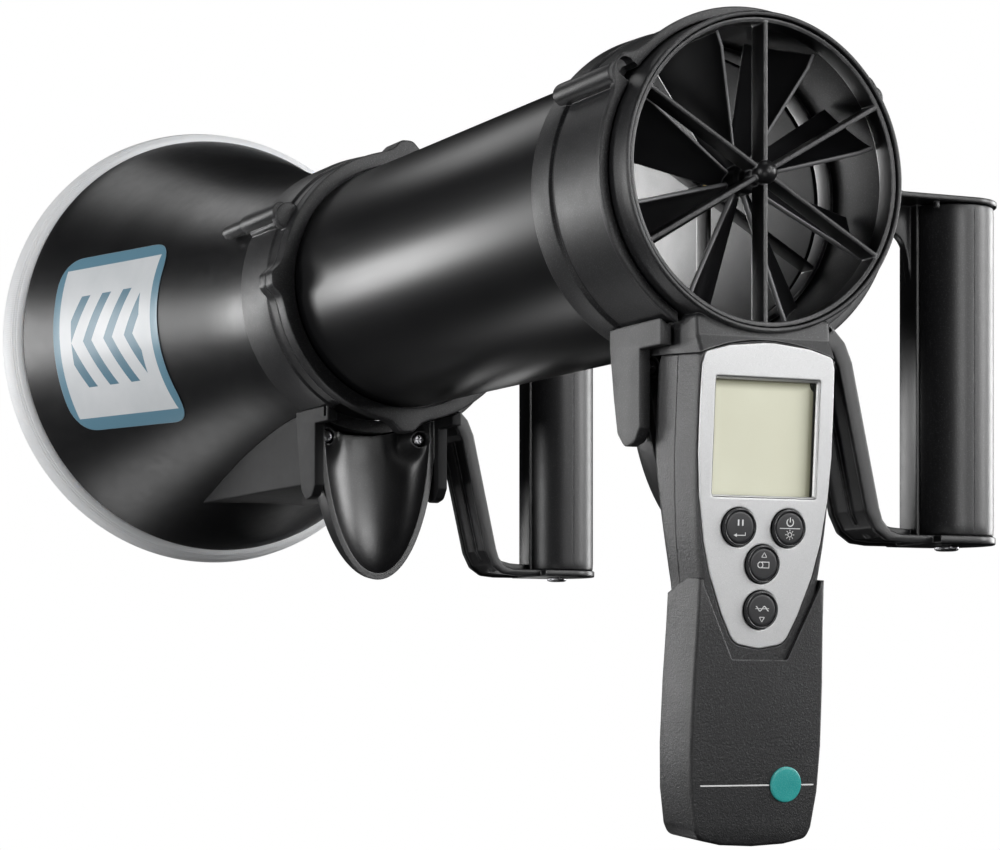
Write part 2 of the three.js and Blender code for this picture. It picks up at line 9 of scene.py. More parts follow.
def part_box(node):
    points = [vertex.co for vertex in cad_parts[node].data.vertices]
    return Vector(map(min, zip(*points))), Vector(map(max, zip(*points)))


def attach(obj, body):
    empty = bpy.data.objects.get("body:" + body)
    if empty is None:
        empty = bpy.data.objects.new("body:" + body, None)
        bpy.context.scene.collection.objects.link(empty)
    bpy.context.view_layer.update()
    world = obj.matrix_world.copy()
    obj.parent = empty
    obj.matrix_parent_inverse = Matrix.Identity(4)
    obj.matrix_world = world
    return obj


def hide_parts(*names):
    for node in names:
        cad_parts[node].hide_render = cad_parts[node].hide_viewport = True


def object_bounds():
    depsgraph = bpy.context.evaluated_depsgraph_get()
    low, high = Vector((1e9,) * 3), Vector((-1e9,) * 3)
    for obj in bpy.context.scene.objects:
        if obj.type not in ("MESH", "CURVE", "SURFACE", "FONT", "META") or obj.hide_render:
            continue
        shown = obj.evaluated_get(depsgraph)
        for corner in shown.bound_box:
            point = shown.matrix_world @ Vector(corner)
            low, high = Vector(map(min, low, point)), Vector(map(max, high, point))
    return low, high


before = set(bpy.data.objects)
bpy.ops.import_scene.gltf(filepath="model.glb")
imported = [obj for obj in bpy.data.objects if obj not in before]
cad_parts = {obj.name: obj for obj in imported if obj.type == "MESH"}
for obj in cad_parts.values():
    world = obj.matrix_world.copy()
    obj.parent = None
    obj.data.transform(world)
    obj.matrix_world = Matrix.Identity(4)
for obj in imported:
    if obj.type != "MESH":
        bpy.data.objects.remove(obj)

CAD_LO, CAD_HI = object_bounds()

# ---------------------------------------------------------------- frame
# Shapes are written in millimetres about the centre of the vane's front rim
# (x right, y along the duct, z up) and set down with OFF, read from the frame.
_tl, _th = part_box("straightener_tube")
OFF = Vector(((_tl.x + _th.x) / 2, _tl.y - 0.0466, (_tl.z + _th.z) / 2))
TILT = math.radians(4.2)
CA, SA = math.cos(TILT), math.sin(TILT)
rad = math.radians
SC = bpy.context.scene


def H(x, w, s):
    """handset coordinates (across, back from the face, down) to duct millimetres"""
    return (x, -1.0 + w * CA + s * SA, -60.0 + w * SA - s * CA)


def same(x, y, z):
    return (x, y, z)


# ---------------------------------------------------------------- mesh tools
class G:
    def __init__(self):
        self.v, self.f, self.m = [], [], []

    def add(self, verts, faces, mi=0):
        n = len(self.v)
        self.v += [tuple(p) for p in verts]
        self.f += [[i + n for i in f] for f in faces]
        self.m += [mi] * len(faces)
        return self

    def join(self, *gs):
        for g in gs:
            n = len(self.v)
            self.v += g.v
            self.f += [[i + n for i in f] for f in g.f]
            self.m += g.m
        return self

    def to(self, fn):
        self.v = [tuple(fn(*p)) for p in self.v]
        return self


def rnd(pts, r=0.5, n=3, closed=True):
    """rounds the corners of a polyline; a point's last entry may carry its own radius as {'r': x}"""
    out, N = [], len(pts)
    for i, p in enumerate(pts):
        rr = r
        if isinstance(p[-1], dict):
            rr, p = p[-1]["r"], p[:-1]
        a = pts[i - 1]
        b = pts[(i + 1) % N]
        a = a[:-1] if isinstance(a[-1], dict) else a
        b = b[:-1] if isinstance(b[-1], dict) else b
        if not closed and i in (0, N - 1):
            out.append(tuple(p))
            continue
        P, A, B = Vector(p[:2]), Vector(a[:2]), Vector(b[:2])
        u, v = A - P, B - P
        lu, lv = u.length, v.length
        if rr <= 0 or lu < 1e-6 or lv < 1e-6:
            out.append(tuple(p))
            continue
        ang = (u / lu).angle(v / lv)
        if ang > rad(173):
            out.append(tuple(p))
            continue
        d = min(rr / math.tan(ang / 2), 0.46 * lu, 0.46 * lv)
        fa, fb = d / lu, d / lv
        for k in range(n + 1):
            t = k / n
            wa, wp, wb = (1 - t) ** 2, 2 * t * (1 - t), t * t
            q = []
            for c in range(len(p)):
                ea = p[c] + (a[c] - p[c]) * fa
                eb = p[c] + (b[c] - p[c]) * fb
                q.append(wa * ea + wp * p[c] + wb * eb)
            out.append(tuple(q))
    return out


def revolve(prof, seg=200, closed=True, bump=None, axis="Y", at=(0, 0), angs=None):
    """turns (r, h[, gain]) about an axis; closed profiles make rings, open ones end on the axis"""
    angs = angs or [2 * math.pi * k / seg for k in range(seg)]
    n, m = len(angs), len(prof)
    g = G()
    vs = []
    for a in angs:
        b = bump(a) if bump else 0.0
        for p in prof:
            r = p[0] + (p[2] * b if len(p) > 2 else 0.0)
            c, s = r * math.cos(a), r * math.sin(a)
            vs.append((at[0] + c, p[1], at[1] + s) if axis == "Y" else (at[0] + c, at[1] + s, p[1]))
    fs = []
    last = m if closed else m - 1
    for i in range(n):
        j = (i + 1) % n
        for k in range(last):
            l = (k + 1) % m
            fs.append([i * m + k, j * m + k, j * m + l, i * m + l])
    return g.add(vs, fs)


def rod(at, r, h0, h1, seg=40, axis="Y", e0=0.3, e1=0.3):
    """a cylinder with rounded ends; an end radius equal to r makes a ball end"""
    def cap(e, h, s):
        k = 8 if e > 1.5 else 3
        return [(r - e + e * math.cos(math.pi / 2 * i / k), h + s * (-e + e * math.sin(math.pi / 2 * i / k))) for i in range(k + 1)]
    top = cap(e1, h1, 1)
    bot = [(a, b) for a, b in reversed(cap(e0, h0, -1))]
    prof = [(0.0001, h0)] + bot + top + [(0.0001, h1)]
    return revolve(prof, seg, False, axis=axis, at=at)


def area2(l):
    return sum(l[i - 1][0] * l[i][1] - l[i][0] * l[i - 1][1] for i in range(len(l))) / 2


def inset(loop, d):
    out, n = [], len(loop)
    for i in range(n):
        p, a, b = Vector(loop[i][:2]), Vector(loop[i - 1][:2]), Vector(loop[(i + 1) % n][:2])
        e1, e2 = (p - a), (b - p)
        if e1.length < 1e-7 or e2.length < 1e-7:
            e1 = e2 = (b - a)
        n1 = Vector((-e1.y, e1.x)).normalized()
        n2 = Vector((-e2.y, e2.x)).normalized()
        k = 1 + n1.dot(n2)
        m = (n1 + n2) / max(k, 0.35)
        out.append(tuple(p + m * d))
    return out


def dedupe(l):
    out = []
    for p in l:
        if not out or (Vector(p[:2]) - Vector(out[-1][:2])).length > 1e-4:
            out.append(p)
    if (Vector(out[0][:2]) - Vector(out[-1][:2])).length < 1e-4:
        out.pop()
    return out


def plate(loops, t0, t1, bev=0.4, n=3, plane="xz", bev2=None):
    """a flat part with holes and rounded edges. plane xz runs along y, yz along x, xy along z"""
    bev2 = bev if bev2 is None else bev2
    ls = []
    for i, l in enumerate(loops):
        l = dedupe([tuple(p[:2]) for p in l])
        if (area2(l) > 0) != (i == 0):
            l = l[::-1]
        ls.append(l)
    rings = []
    for k in range(n + 1):
        a = math.pi / 2 * k / n
        rings.append((bev * (1 - math.sin(a)), t0 + bev * (1 - math.cos(a))))
    for k in range(n + 1):
        a = math.pi / 2 * (n - k) / n
        rings.append((bev2 * (1 - math.sin(a)), t1 - bev2 * (1 - math.cos(a))))
    g = G()
    first, last = [], []
    for l in ls:
        base, m = len(g.v), len(l)
        for d, t in rings:
            g.v += [(p[0], p[1], t) for p in (inset(l, d) if d > 1e-6 else l)]
        for r in range(len(rings) - 1):
            for i in range(m):
                j = (i + 1) % m
                a, b = base + r * m, base + (r + 1) * m
                g.f.append([a + i, a + j, b + j, b + i])
                g.m.append(0)
        first.append([base + i for i in range(m)])
        last.append([base + (len(rings) - 1) * m + i for i in range(m)])
    for idx in (first, last):
        flat = [i for l in idx for i in l]
        tris = tessellate_polygon([[Vector((g.v[i][0], g.v[i][1], 0)) for i in l] for l in idx])
        for t in tris:
            g.f.append([flat[t[0]], flat[t[1]], flat[t[2]]])
            g.m.append(0)
    fn = {"xz": lambda u, v, t: (u, t, v), "yz": lambda u, v, t: (t, u, v), "xy": lambda u, v, t: (u, v, t)}[plane]
    return g.to(fn)


def rbox(x0, x1, y0, y1, z0, z1, bev=0.3, n=3):
    return plate([[(x0, z0), (x1, z0), (x1, z1), (x0, z1)]], y0, y1, bev, n)


def mesh_of(g, name="tmp"):
    me = bpy.data.meshes.new(name)
    me.from_pydata(g.v, [], g.f)
    me.polygons.foreach_set("material_index", g.m)
    bm = bmesh.new()
    bm.from_mesh(me)
    bmesh.ops.remove_doubles(bm, verts=bm.verts, dist=0.0008)
    bmesh.ops.dissolve_degenerate(bm, edges=bm.edges, dist=0.0002)
    bmesh.ops.recalc_face_normals(bm, faces=bm.faces)
    bm.to_mesh(me)
    bm.free()
    return me


def boolean(me, gs, op="DIFFERENCE"):
    for g in gs:
        o = bpy.data.objects.new("tmp_a", me)
        c = bpy.data.objects.new("tmp_b", mesh_of(g) if isinstance(g, G) else g)
        for x in (o, c):
            SC.collection.objects.link(x)
        mo = o.modifiers.new("b", "BOOLEAN")
        mo.operation, mo.object = op, c
        done = None
        for solver in ("MANIFOLD", "EXACT"):
            try:
                mo.solver = solver
            except TypeError:
                continue
            bpy.context.view_layer.update()
            dg = bpy.context.evaluated_depsgraph_get()
            new = bpy.data.meshes.new_from_object(o.evaluated_get(dg))
            if len(new.polygons) > 3 and (op != "DIFFERENCE" or len(new.polygons) != len(me.polygons)):
                done = new
                break
        if done is None:
            print("BOOLEAN left unchanged:", me.name)
            done = me
        bpy.data.objects.remove(o)
        bpy.data.objects.remove(c)
        me = done
    return me


def emit(name, g, body, mats, repl=(), ang=34, cuts=(), plus=None, wn=False):
    """makes the piece: mesh in the row frame, smooth except at real edges, riding on its body"""
    me = mesh_of(g, name) if isinstance(g, G) else g
    if cuts:
        me = boolean(me, cuts)
    if plus is not None:
        bm = bmesh.new()
        bm.from_mesh(me)
        pm = mesh_of(plus)
        bm.from_mesh(pm)
        bm.to_mesh(me)
        bm.free()
    me.name = name
    me.transform(Matrix.Translation(OFF) @ Matrix.Scale(0.001, 4))
    mats = mats if isinstance(mats, (list, tuple)) else [mats]
    idx = [min(p.material_index, len(mats) - 1) for p in me.polygons]
    me.materials.clear()
    for m in mats:
        me.materials.append(m)
    me.polygons.foreach_set("material_index", idx)
    me.polygons.foreach_set("use_smooth", [True] * len(me.polygons))
    me.set_sharp_from_angle(angle=rad(ang))
    o = bpy.data.objects.new(name, me)
    SC.collection.objects.link(o)
    if wn:
        w = o.modifiers.new("wn", "WEIGHTED_NORMAL")
        w.keep_sharp = True
        w.weight = 80
    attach(o, body)
    if repl:
        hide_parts(*repl)
    return o


# ---------------------------------------------------------------- materials
class N:
    """small helper for node trees"""
    def __init__(self, name):
        self.m = bpy.data.materials.new(name)
        self.m.use_nodes = True
        self.t = self.m.node_tree
        self.t.nodes.clear()
        self.out = self.t.nodes.new("ShaderNodeOutputMaterial")
        self.tc = self.t.nodes.new("ShaderNodeTexCoord")

    def n(self, kind, **kw):
        x = self.t.nodes.new("ShaderNode" + kind)
        for k, v in kw.items():
            setattr(x, k, v)
        return x

    def link(self, a, b):
        self.t.links.new(a, b)

    def val(self, sock, v):
        if hasattr(v, "is_linked") or isinstance(v, bpy.types.NodeSocket):
            self.link(v, sock)
        else:
            sock.default_value = v

    def math(self, op, a, b=None, c=None, clamp=False):
        x = self.n("Math", operation=op, use_clamp=clamp)
        for i, v in enumerate((a, b, c)):
            if v is not None:
                self.val(x.inputs[i], v)
        return x.outputs[0]

    def noise(self, scale, detail=3, rough=0.55, stretch=None, dist=0.0):
        x = self.n("TexNoise")
        x.inputs["Scale"].default_value = scale
        x.inputs["Detail"].default_value = detail
        x.inputs["Roughness"].default_value = rough
        x.inputs["Distortion"].default_value = dist
        src = self.tc.outputs["Object"]
        if stretch:
            mp = self.n("Mapping")
            mp.inputs["Scale"].default_value = stretch
            self.link(src, mp.inputs["Vector"])
            src = mp.outputs["Vector"]
        self.link(src, x.inputs["Vector"])
        return x.outputs["Fac"]

    def voronoi(self, scale, feature="F1", stretch=None):
        x = self.n("TexVoronoi", feature=feature)
        x.inputs["Scale"].default_value = scale
        src = self.tc.outputs["Object"]
        if stretch:
            mp = self.n("Mapping")
            mp.inputs["Scale"].default_value = stretch
            self.link(src, mp.inputs["Vector"])
            src = mp.outputs["Vector"]
        self.link(src, x.inputs["Vector"])
        return x.outputs["Distance"]

    def ramp(self, v, lo, hi, a=0.0, b=1.0):
        x = self.n("MapRange")
        self.link(v, x.inputs["Value"])
        x.inputs["From Min"].default_value, x.inputs["From Max"].default_value = lo, hi
        x.inputs["To Min"].default_value, x.inputs["To Max"].default_value = a, b
        return x.outputs["Result"]

    def mix(self, f, a, b):
        x = self.n("Mix", data_type="RGBA")
        self.val(x.inputs[0], f)
        for s, v in ((x.inputs[6], a), (x.inputs[7], b)):
            if isinstance(v, (tuple, list)):
                s.default_value = tuple(v) + ((1.0,) if len(v) == 3 else ())
            else:
                self.link(v, s)
        return x.outputs[2]

    def edges(self, radius):
        """(bevelled normal, edge mask 0..1)"""
        b = self.n("Bevel", samples=4)
        b.inputs["Radius"].default_value = radius
        geo = self.n("NewGeometry")
        d = self.n("VectorMath", operation="DOT_PRODUCT")
        self.link(b.outputs["Normal"], d.inputs[0])
        self.link(geo.outputs["Normal"], d.inputs[1])
        mask = self.ramp(d.outputs["Value"], 0.997, 0.88)
        return b.outputs["Normal"], mask

    def bump(self, height, strength, dist, normal=None):
        x = self.n("Bump")
        x.inputs["Strength"].default_value = strength
        x.inputs["Distance"].default_value = dist
        self.link(height, x.inputs["Height"])
        if normal is not None:
            self.link(normal, x.inputs["Normal"])
        return x.outputs["Normal"]

    def principled(self, color, rough, metal=0.0, normal=None, **kw):
        p = self.n("BsdfPrincipled")
        if isinstance(color, (tuple, list)):
            p.inputs["Base Color"].default_value = tuple(color) + ((1.0,) if len(color) == 3 else ())
        else:
            self.link(color, p.inputs["Base Color"])
        self.val(p.inputs["Roughness"], rough)
        self.val(p.inputs["Metallic"], metal)
        if normal is not None:
            self.link(normal, p.inputs["Normal"])
        for k, v in kw.items():
            self.val(p.inputs[k.replace("_", " ")], v)
        return p

    def done(self, shader):
        self.link(shader.outputs[0], self.out.inputs["Surface"])
        return self.m


def plastic(name, col, col2, rough, grain=2600, gdist=0.00006, gstr=0.6, edge=0.00035, vor=0.0, streak=None,
            edge_highlight_col=(0.16, 0.16, 0.17), edge_highlight_amt=0.35, spec=0.5, coat=0.0, var=0.02, painted_glint=0.0):
    k = N(name)
    big = k.noise(26, 3)
    mid = k.noise(210, 3)
    fine = k.noise(grain, 2, 0.6)
    h = fine
    if vor:
        v = k.voronoi(grain * 0.55, "SMOOTH_F1")
        h = k.math("ADD", k.math("MULTIPLY", fine, 1 - vor), k.math("MULTIPLY", v, vor))
    if streak:
        s = k.noise(streak[0], 3, 0.6, stretch=streak[1])
        h = k.math("ADD", k.math("MULTIPLY", h, 0.4), k.math("MULTIPLY", s, 0.9))
        mid = s
    nb, mask = k.edges(edge)
    base = k.mix(k.ramp(big, 0.25, 0.75), col, col2)
    # painted glints: bright specks on the grain's noise peaks stand in for light catching the grain
    if painted_glint:
        base = k.mix(k.math("MULTIPLY", k.ramp(fine, 0.55, 0.74), painted_glint), base, (0.22, 0.22, 0.23))
    # painted highlight: the colour is lightened along the edges, broken up by noise, where light catches them
    edge_highlight = k.math("MULTIPLY", mask, k.ramp(mid, 0.35, 0.62, 0.35, 1.0), clamp=True)
    base = k.mix(k.math("MULTIPLY", edge_highlight, edge_highlight_amt), base, edge_highlight_col)
    r = k.math("ADD", k.ramp(mid, 0.3, 0.7, rough - var, rough + var), k.ramp(big, 0.3, 0.7, -var / 2, var / 2))
    r = k.math("SUBTRACT", r, k.math("MULTIPLY", mask, 0.12), clamp=True)
    nn = k.bump(h, gstr, gdist, nb)
    p = k.principled(base, r, 0.0, nn, **{"Specular IOR Level": spec, "Coat Weight": coat, "Coat Roughness": 0.15})
    return k.done(p)


def metal(name, col, rough, edge=0.0002, brush=None, grain=4200, gstr=0.15):
    k = N(name)
    nb, mask = k.edges(edge)
    f = k.noise(grain, 2) if not brush else k.noise(brush[0], 3, 0.6, stretch=brush[1])
    big = k.noise(60, 3)
    dark = tuple(c * 0.72 for c in col)
    base = k.mix(k.ramp(big, 0.3, 0.7), dark, col)
    # painted highlight: the colour is lightened toward pale grey along the edges
    base = k.mix(k.math("MULTIPLY", mask, 0.5), base, (0.9, 0.9, 0.9))
    r = k.ramp(f, 0.3, 0.7, rough - 0.07, rough + 0.08)
    return k.done(k.principled(base, r, 1.0, k.bump(f, gstr, 0.00003, nb)))


M = {}
M["grain"] = plastic("grained_black", (0.0075, 0.0075, 0.0085), (0.0100, 0.0100, 0.0110), 0.42, grain=2300, gdist=0.00010, gstr=0.5, vor=0.35, edge=0.0006, edge_highlight_amt=0.9, edge_highlight_col=(0.16, 0.16, 0.165), painted_glint=0.28)
M["hand"] = plastic("handset_grain", (0.0055, 0.0055, 0.0063), (0.0085, 0.0085, 0.0093), 0.40, grain=2100, gdist=0.00016, gstr=1.0, vor=0.4, edge=0.0006, edge_highlight_amt=0.8, edge_highlight_col=(0.13, 0.13, 0.135), painted_glint=0.24)
M["sleeve"] = plastic("sleeve_black", (0.0065, 0.0065, 0.0072), (0.0095, 0.0095, 0.0102), 0.40, grain=2200, gdist=0.00015, gstr=1.0, vor=0.3, edge=0.0007, edge_highlight_amt=0.9, edge_highlight_col=(0.15, 0.15, 0.155), painted_glint=0.16)
M["tube"] = plastic("glossy_tube_black", (0.0035, 0.0035, 0.0042), (0.0050, 0.0050, 0.0058), 0.31, grain=3000, gdist=0.000008, gstr=0.08, streak=(2600, (1, 0.006, 1)), edge=0.0004, var=0.012, edge_highlight_col=(0.05, 0.05, 0.055))
M["satin"] = plastic("satin_black", (0.0050, 0.0050, 0.0058), (0.0070, 0.0070, 0.0078), 0.34, grain=3000, gdist=0.00004, gstr=0.35, edge=0.0007, edge_highlight_amt=0.9, edge_highlight_col=(0.16, 0.16, 0.165), painted_glint=0.05)
M["rib"] = plastic("rib_matt_black", (0.0050, 0.0050, 0.0058), (0.0070, 0.0070, 0.0078), 0.62, grain=2600, gdist=0.00005, gstr=0.5, edge=0.0006, edge_highlight_amt=0.6, edge_highlight_col=(0.08, 0.08, 0.085), spec=0.28)
# painted light: a lighter copy of the black plastic for the front cradle's cheeks, standing in for the light that falls
# on them
M["cheek"] = plastic("cheek_black_painted_light", (0.022, 0.022, 0.023), (0.030, 0.030, 0.031), 0.46, grain=1700, gdist=0.00010, gstr=0.6, edge=0.0006, edge_highlight_amt=0.9, edge_highlight_col=(0.20, 0.20, 0.205), painted_glint=0.25)
M["bell"] = plastic("bell_satin_black", (0.0040, 0.0040, 0.0048), (0.0058, 0.0058, 0.0066), 0.34, grain=2600, gdist=0.00004, gstr=0.4, edge=0.0004, edge_highlight_amt=0.4, edge_highlight_col=(0.06, 0.06, 0.065), painted_glint=0.03)
M["grip"] = plastic("grip_black", (0.0060, 0.0060, 0.0068), (0.0085, 0.0085, 0.0095), 0.37, grain=2100, gdist=0.00007, gstr=0.5, edge=0.0006, edge_highlight_amt=0.8, edge_highlight_col=(0.13, 0.13, 0.135), painted_glint=0.12)
M["impeller"] = plastic("impeller_black", (0.0060, 0.0060, 0.0068), (0.0085, 0.0085, 0.0095), 0.36, grain=3200, gdist=0.00004, gstr=0.35, edge=0.0007, edge_highlight_amt=1.0, edge_highlight_col=(0.42, 0.42, 0.43))
M["guard"] = plastic("guard_black", (0.0055, 0.0055, 0.0062), (0.0080, 0.0080, 0.0088), 0.34, grain=3200, gdist=0.00004, gstr=0.35, edge=0.0007, edge_highlight_amt=1.0, edge_highlight_col=(0.40, 0.40, 0.41))
M["snap"] = plastic("snap_black", (0.03, 0.03, 0.03), (0.04, 0.04, 0.04), 0.5)
M["keypad"] = plastic("keypad_rubber", (0.06, 0.06, 0.065), (0.09, 0.09, 0.095), 0.72, grain=1800, gdist=0.00008, edge_highlight_amt=0.2)
M["board"] = plastic("board_green", (0.015, 0.09, 0.035), (0.03, 0.15, 0.06), 0.38, grain=1200, gdist=0.00003, edge_highlight_col=(0.5, 0.42, 0.2), edge_highlight_amt=0.7)
M["battery"] = plastic("battery_blue", (0.02, 0.035, 0.09), (0.04, 0.06, 0.14), 0.3, grain=2000, gdist=0.00002, edge_highlight_col=(0.5, 0.5, 0.52), edge_highlight_amt=0.7, coat=0.4)
M["steel"] = metal("steel", (0.62, 0.62, 0.63), 0.28)
M["brass"] = metal("bearing_brass", (0.72, 0.52, 0.22), 0.3)
M["zinc"] = metal("zinc_screw", (0.50, 0.50, 0.52), 0.33)


def seal_material():
    k = N("seal_white")
    big = k.noise(18, 3)
    geo_p = k.n("SeparateXYZ")
    k.link(k.tc.outputs["Object"], geo_p.inputs[0])
    ang = k.math("ARCTAN2", k.math("SUBTRACT", geo_p.outputs[2], OFF.z), k.math("SUBTRACT", geo_p.outputs[0], OFF.x))
    ribs = k.math("SINE", k.math("MULTIPLY", ang, 620.0))
    fine = k.noise(2500, 2)
    h = k.math("ADD", k.math("MULTIPLY", ribs, 0.5), fine)
    nb, mask = k.edges(0.0006)
    base = k.mix(k.ramp(big, 0.3, 0.7), (0.76, 0.77, 0.785), (0.83, 0.84, 0.85))
    # painted highlight: the colour is lightened along the edges
    base = k.mix(k.math("MULTIPLY", mask, 0.5), base, (0.9, 0.9, 0.91))
    r = k.ramp(fine, 0.3, 0.7, 0.42, 0.56)
    p = k.principled(base, r, 0.0, k.bump(h, 0.35, 0.00012, nb), **{"Subsurface Weight": 0.55, "Subsurface Scale": 0.004, "Specular IOR Level": 0.45})
    p.inputs["Subsurface Radius"].default_value = (1.0, 0.95, 0.9)
    return k.done(p)


def honey_material():
    k = N("honeycomb_light")
    big, fine = k.noise(60, 3), k.noise(2200, 2)
    nb, mask = k.edges(0.0004)
    base = k.mix(k.ramp(big, 0.3, 0.7), (0.60, 0.595, 0.57), (0.70, 0.69, 0.66))
    # painted highlight: the colour is lightened along the edges
    base = k.mix(k.math("MULTIPLY", mask, 0.5), base, (0.8, 0.8, 0.78))
    p = k.principled(base, k.ramp(fine, 0.3, 0.7, 0.42, 0.58), 0.0, k.bump(fine, 0.4, 0.00006, nb), **{"Subsurface Weight": 0.4, "Subsurface Scale": 0.003})
    return k.done(p)


def silver_material():
    """metallic lacquer: fine flake, slightly uneven film, painted highlight along the edges"""
    k = N("faceplate_silver")
    flake = k.noise(5200, 2, 0.7)
    flake2 = k.voronoi(3800)
    film = k.noise(40, 3)
    nb, mask = k.edges(0.0006)
    base = k.mix(k.ramp(flake, 0.35, 0.7), (0.46, 0.462, 0.466), (0.62, 0.622, 0.626))
    base = k.mix(k.math("MULTIPLY", k.ramp(film, 0.35, 0.65), 0.12), base, (0.68, 0.68, 0.685))
    # painted highlight: the colour is lightened along the edges
    base = k.mix(k.math("MULTIPLY", mask, 0.6), base, (0.75, 0.75, 0.75))
    h = k.math("ADD", k.math("MULTIPLY", flake, 0.7), k.math("MULTIPLY", flake2, 0.4))
    r = k.ramp(flake2, 0.1, 0.8, 0.34, 0.46)
    p = k.principled(base, r, 0.62, k.bump(h, 0.25, 0.00004, nb), **{"Coat Weight": 0.25, "Coat Roughness": 0.22})
    return k.done(p)


def lcd_material():
    """reflective liquid-crystal glass: beige green, darker where the frame shades it"""
    k = N("display_lcd")
    sep = k.n("SeparateXYZ")
    k.link(k.tc.outputs["Object"], sep.inputs[0])
    x = k.math("MULTIPLY", k.math("SUBTRACT", sep.outputs[0], OFF.x), 1000.0)
    s = k.math("MULTIPLY", k.math("SUBTRACT", sep.outputs[2], OFF.z), -1000.0)
    film = k.noise(45, 2)
    base = k.mix(k.ramp(film, 0.3, 0.7), (0.76, 0.725, 0.625), (0.80, 0.77, 0.67))
    # shade along the right and upper edges, where the deep frame throws its shadow
    ex = k.ramp(x, 13.5, 18.6)
    ez = k.ramp(s, 71.4, 69.0)
    sh = k.math("MAXIMUM", k.math("POWER", ex, 1.8), k.math("POWER", ez, 1.5))
    base = k.mix(k.math("MULTIPLY", sh, 0.7), base, (0.20, 0.19, 0.11))
    fine = k.noise(3000, 2)
    p = k.principled(base, k.ramp(fine, 0.3, 0.7, 0.30, 0.38), 0.0, k.bump(fine, 0.1, 0.00001), **{"Specular IOR Level": 0.4})
    # painted glow: the display's colour is also emitted faintly, lifting it though it has no lamp
    k.link(base, p.inputs["Emission Color"])
    p.inputs["Emission Strength"].default_value = 0.11
    return k.done(p)


def glass_material():
    k = N("display_glass")
    fine = k.noise(300, 2)
    lw = k.n("Fresnel")
    lw.inputs["IOR"].default_value = 1.32
    tr = k.n("BsdfTransparent")
    tr.inputs["Color"].default_value = (0.97, 0.98, 0.96, 1)
    gl = k.n("BsdfGlossy")
    k.link(k.ramp(fine, 0.3, 0.7, 0.03, 0.06), gl.inputs["Roughness"])
    mx = k.n("MixShader")
    geo = k.n("NewGeometry")
    front_only = k.math("MULTIPLY", lw.outputs[0], k.math("SUBTRACT", 1.0, geo.outputs["Backfacing"]))
    k.link(front_only, mx.inputs[0])
    k.link(tr.outputs[0], mx.inputs[1])
    k.link(gl.outputs[0], mx.inputs[2])
    return k.done(mx)


def print_material(name, col, col2, rough=0.42):
    k = N(name)
    fine, big = k.noise(2600, 2), k.noise(80, 3)
    nb, mask = k.edges(0.0002)
    base = k.mix(k.ramp(big, 0.3, 0.7), col, col2)
    return k.done(k.principled(base, k.ramp(fine, 0.3, 0.7, rough - 0.05, rough + 0.07), 0.0, k.bump(fine, 0.3, 0.00002, nb)))


def label_material():
    """plain printed foil: pale field, muted border and airflow chevrons"""
    k = N("label_print")
    sep = k.n("SeparateXYZ")
    k.link(k.tc.outputs["Object"], sep.inputs[0])
    y = k.math("MULTIPLY", k.math("SUBTRACT", sep.outputs[1], OFF.y), 1000.0)
    z = k.math("MULTIPLY", k.math("SUBTRACT", sep.outputs[2], OFF.z), 1000.0)
    u = k.math("ABSOLUTE", k.math("ADD", z, 7.0))          # from the label's middle line
    v = k.math("SUBTRACT", y, 441.5)
    # chevrons pointing along the flow
    ph = k.math("ADD", v, k.math("MULTIPLY", u, 0.62))
    fr = k.math("FRACT", k.math("DIVIDE", k.math("ADD", ph, 200.0), 15.0))
    band = k.math("LESS_THAN", fr, 0.42)
    inside = k.math("MULTIPLY", k.math("LESS_THAN", u, 21.0), k.math("LESS_THAN", k.math("ABSOLUTE", v), 25.0))
    chev = k.math("MULTIPLY", band, inside)
    frame_u = k.math("GREATER_THAN", u, 34.5)
    frame_v = k.math("GREATER_THAN", k.math("ABSOLUTE", v), 33.5)
    border = k.math("MAXIMUM", frame_u, frame_v)
    big, fine = k.noise(50, 3), k.noise(2600, 2)
    pale = k.mix(k.ramp(big, 0.3, 0.7), (0.66, 0.69, 0.71), (0.74, 0.76, 0.78))
    col = k.mix(chev, pale, (0.10, 0.22, 0.30))
    col = k.mix(border, col, (0.13, 0.27, 0.36))
    nb, mask = k.edges(0.0003)
    # painted highlight: the colour is lightened along the edges
    col = k.mix(k.math("MULTIPLY", mask, 0.4), col, (0.85, 0.85, 0.85))
    return k.done(k.principled(col, k.ramp(fine, 0.3, 0.7, 0.30, 0.40), 0.0, k.bump(fine, 0.25, 0.00003, nb), **{"Coat Weight": 0.2, "Coat Roughness": 0.2}))


M["seal"] = seal_material()
M["honey"] = honey_material()
M["silver"] = silver_material()
M["lcd"] = lcd_material()
M["glass"] = glass_material()
M["label"] = label_material()
M["white"] = print_material("icon_white", (0.74, 0.74, 0.74), (0.82, 0.82, 0.82))
M["badge"] = print_material("badge_print", (0.03, 0.30, 0.29), (0.05, 0.38, 0.36), 0.25)
M["button"] = plastic("button_black", (0.012, 0.012, 0.014), (0.017, 0.017, 0.019), 0.42, grain=2600, gdist=0.00005, gstr=0.5, edge=0.0003, edge_highlight_amt=0.6, edge_highlight_col=(0.30, 0.30, 0.31))
M["buttonrim"] = plastic("button_rim", (0.012, 0.012, 0.013), (0.018, 0.018, 0.02), 0.22, grain=3000, gdist=0.00001, gstr=0.2, edge=0.0003, edge_highlight_amt=0.6, edge_highlight_col=(0.35, 0.35, 0.36))


# ---------------------------------------------------------------- straightener
def hump(s, a, h, p=4):
    """rounded lug nose with soft flanks; s is the distance along the rim"""
    return h / (1 + (abs(s) / a) ** p)


def lugs(R, defs):
    def f(a):
        b = 0.0
        for deg, w, h in defs:
            d = (a - rad(deg) + math.pi) % (2 * math.pi) - math.pi
            b = max(b, hump(d * R, w, h))
        return b if b > 0.02 else 0.0
    return f


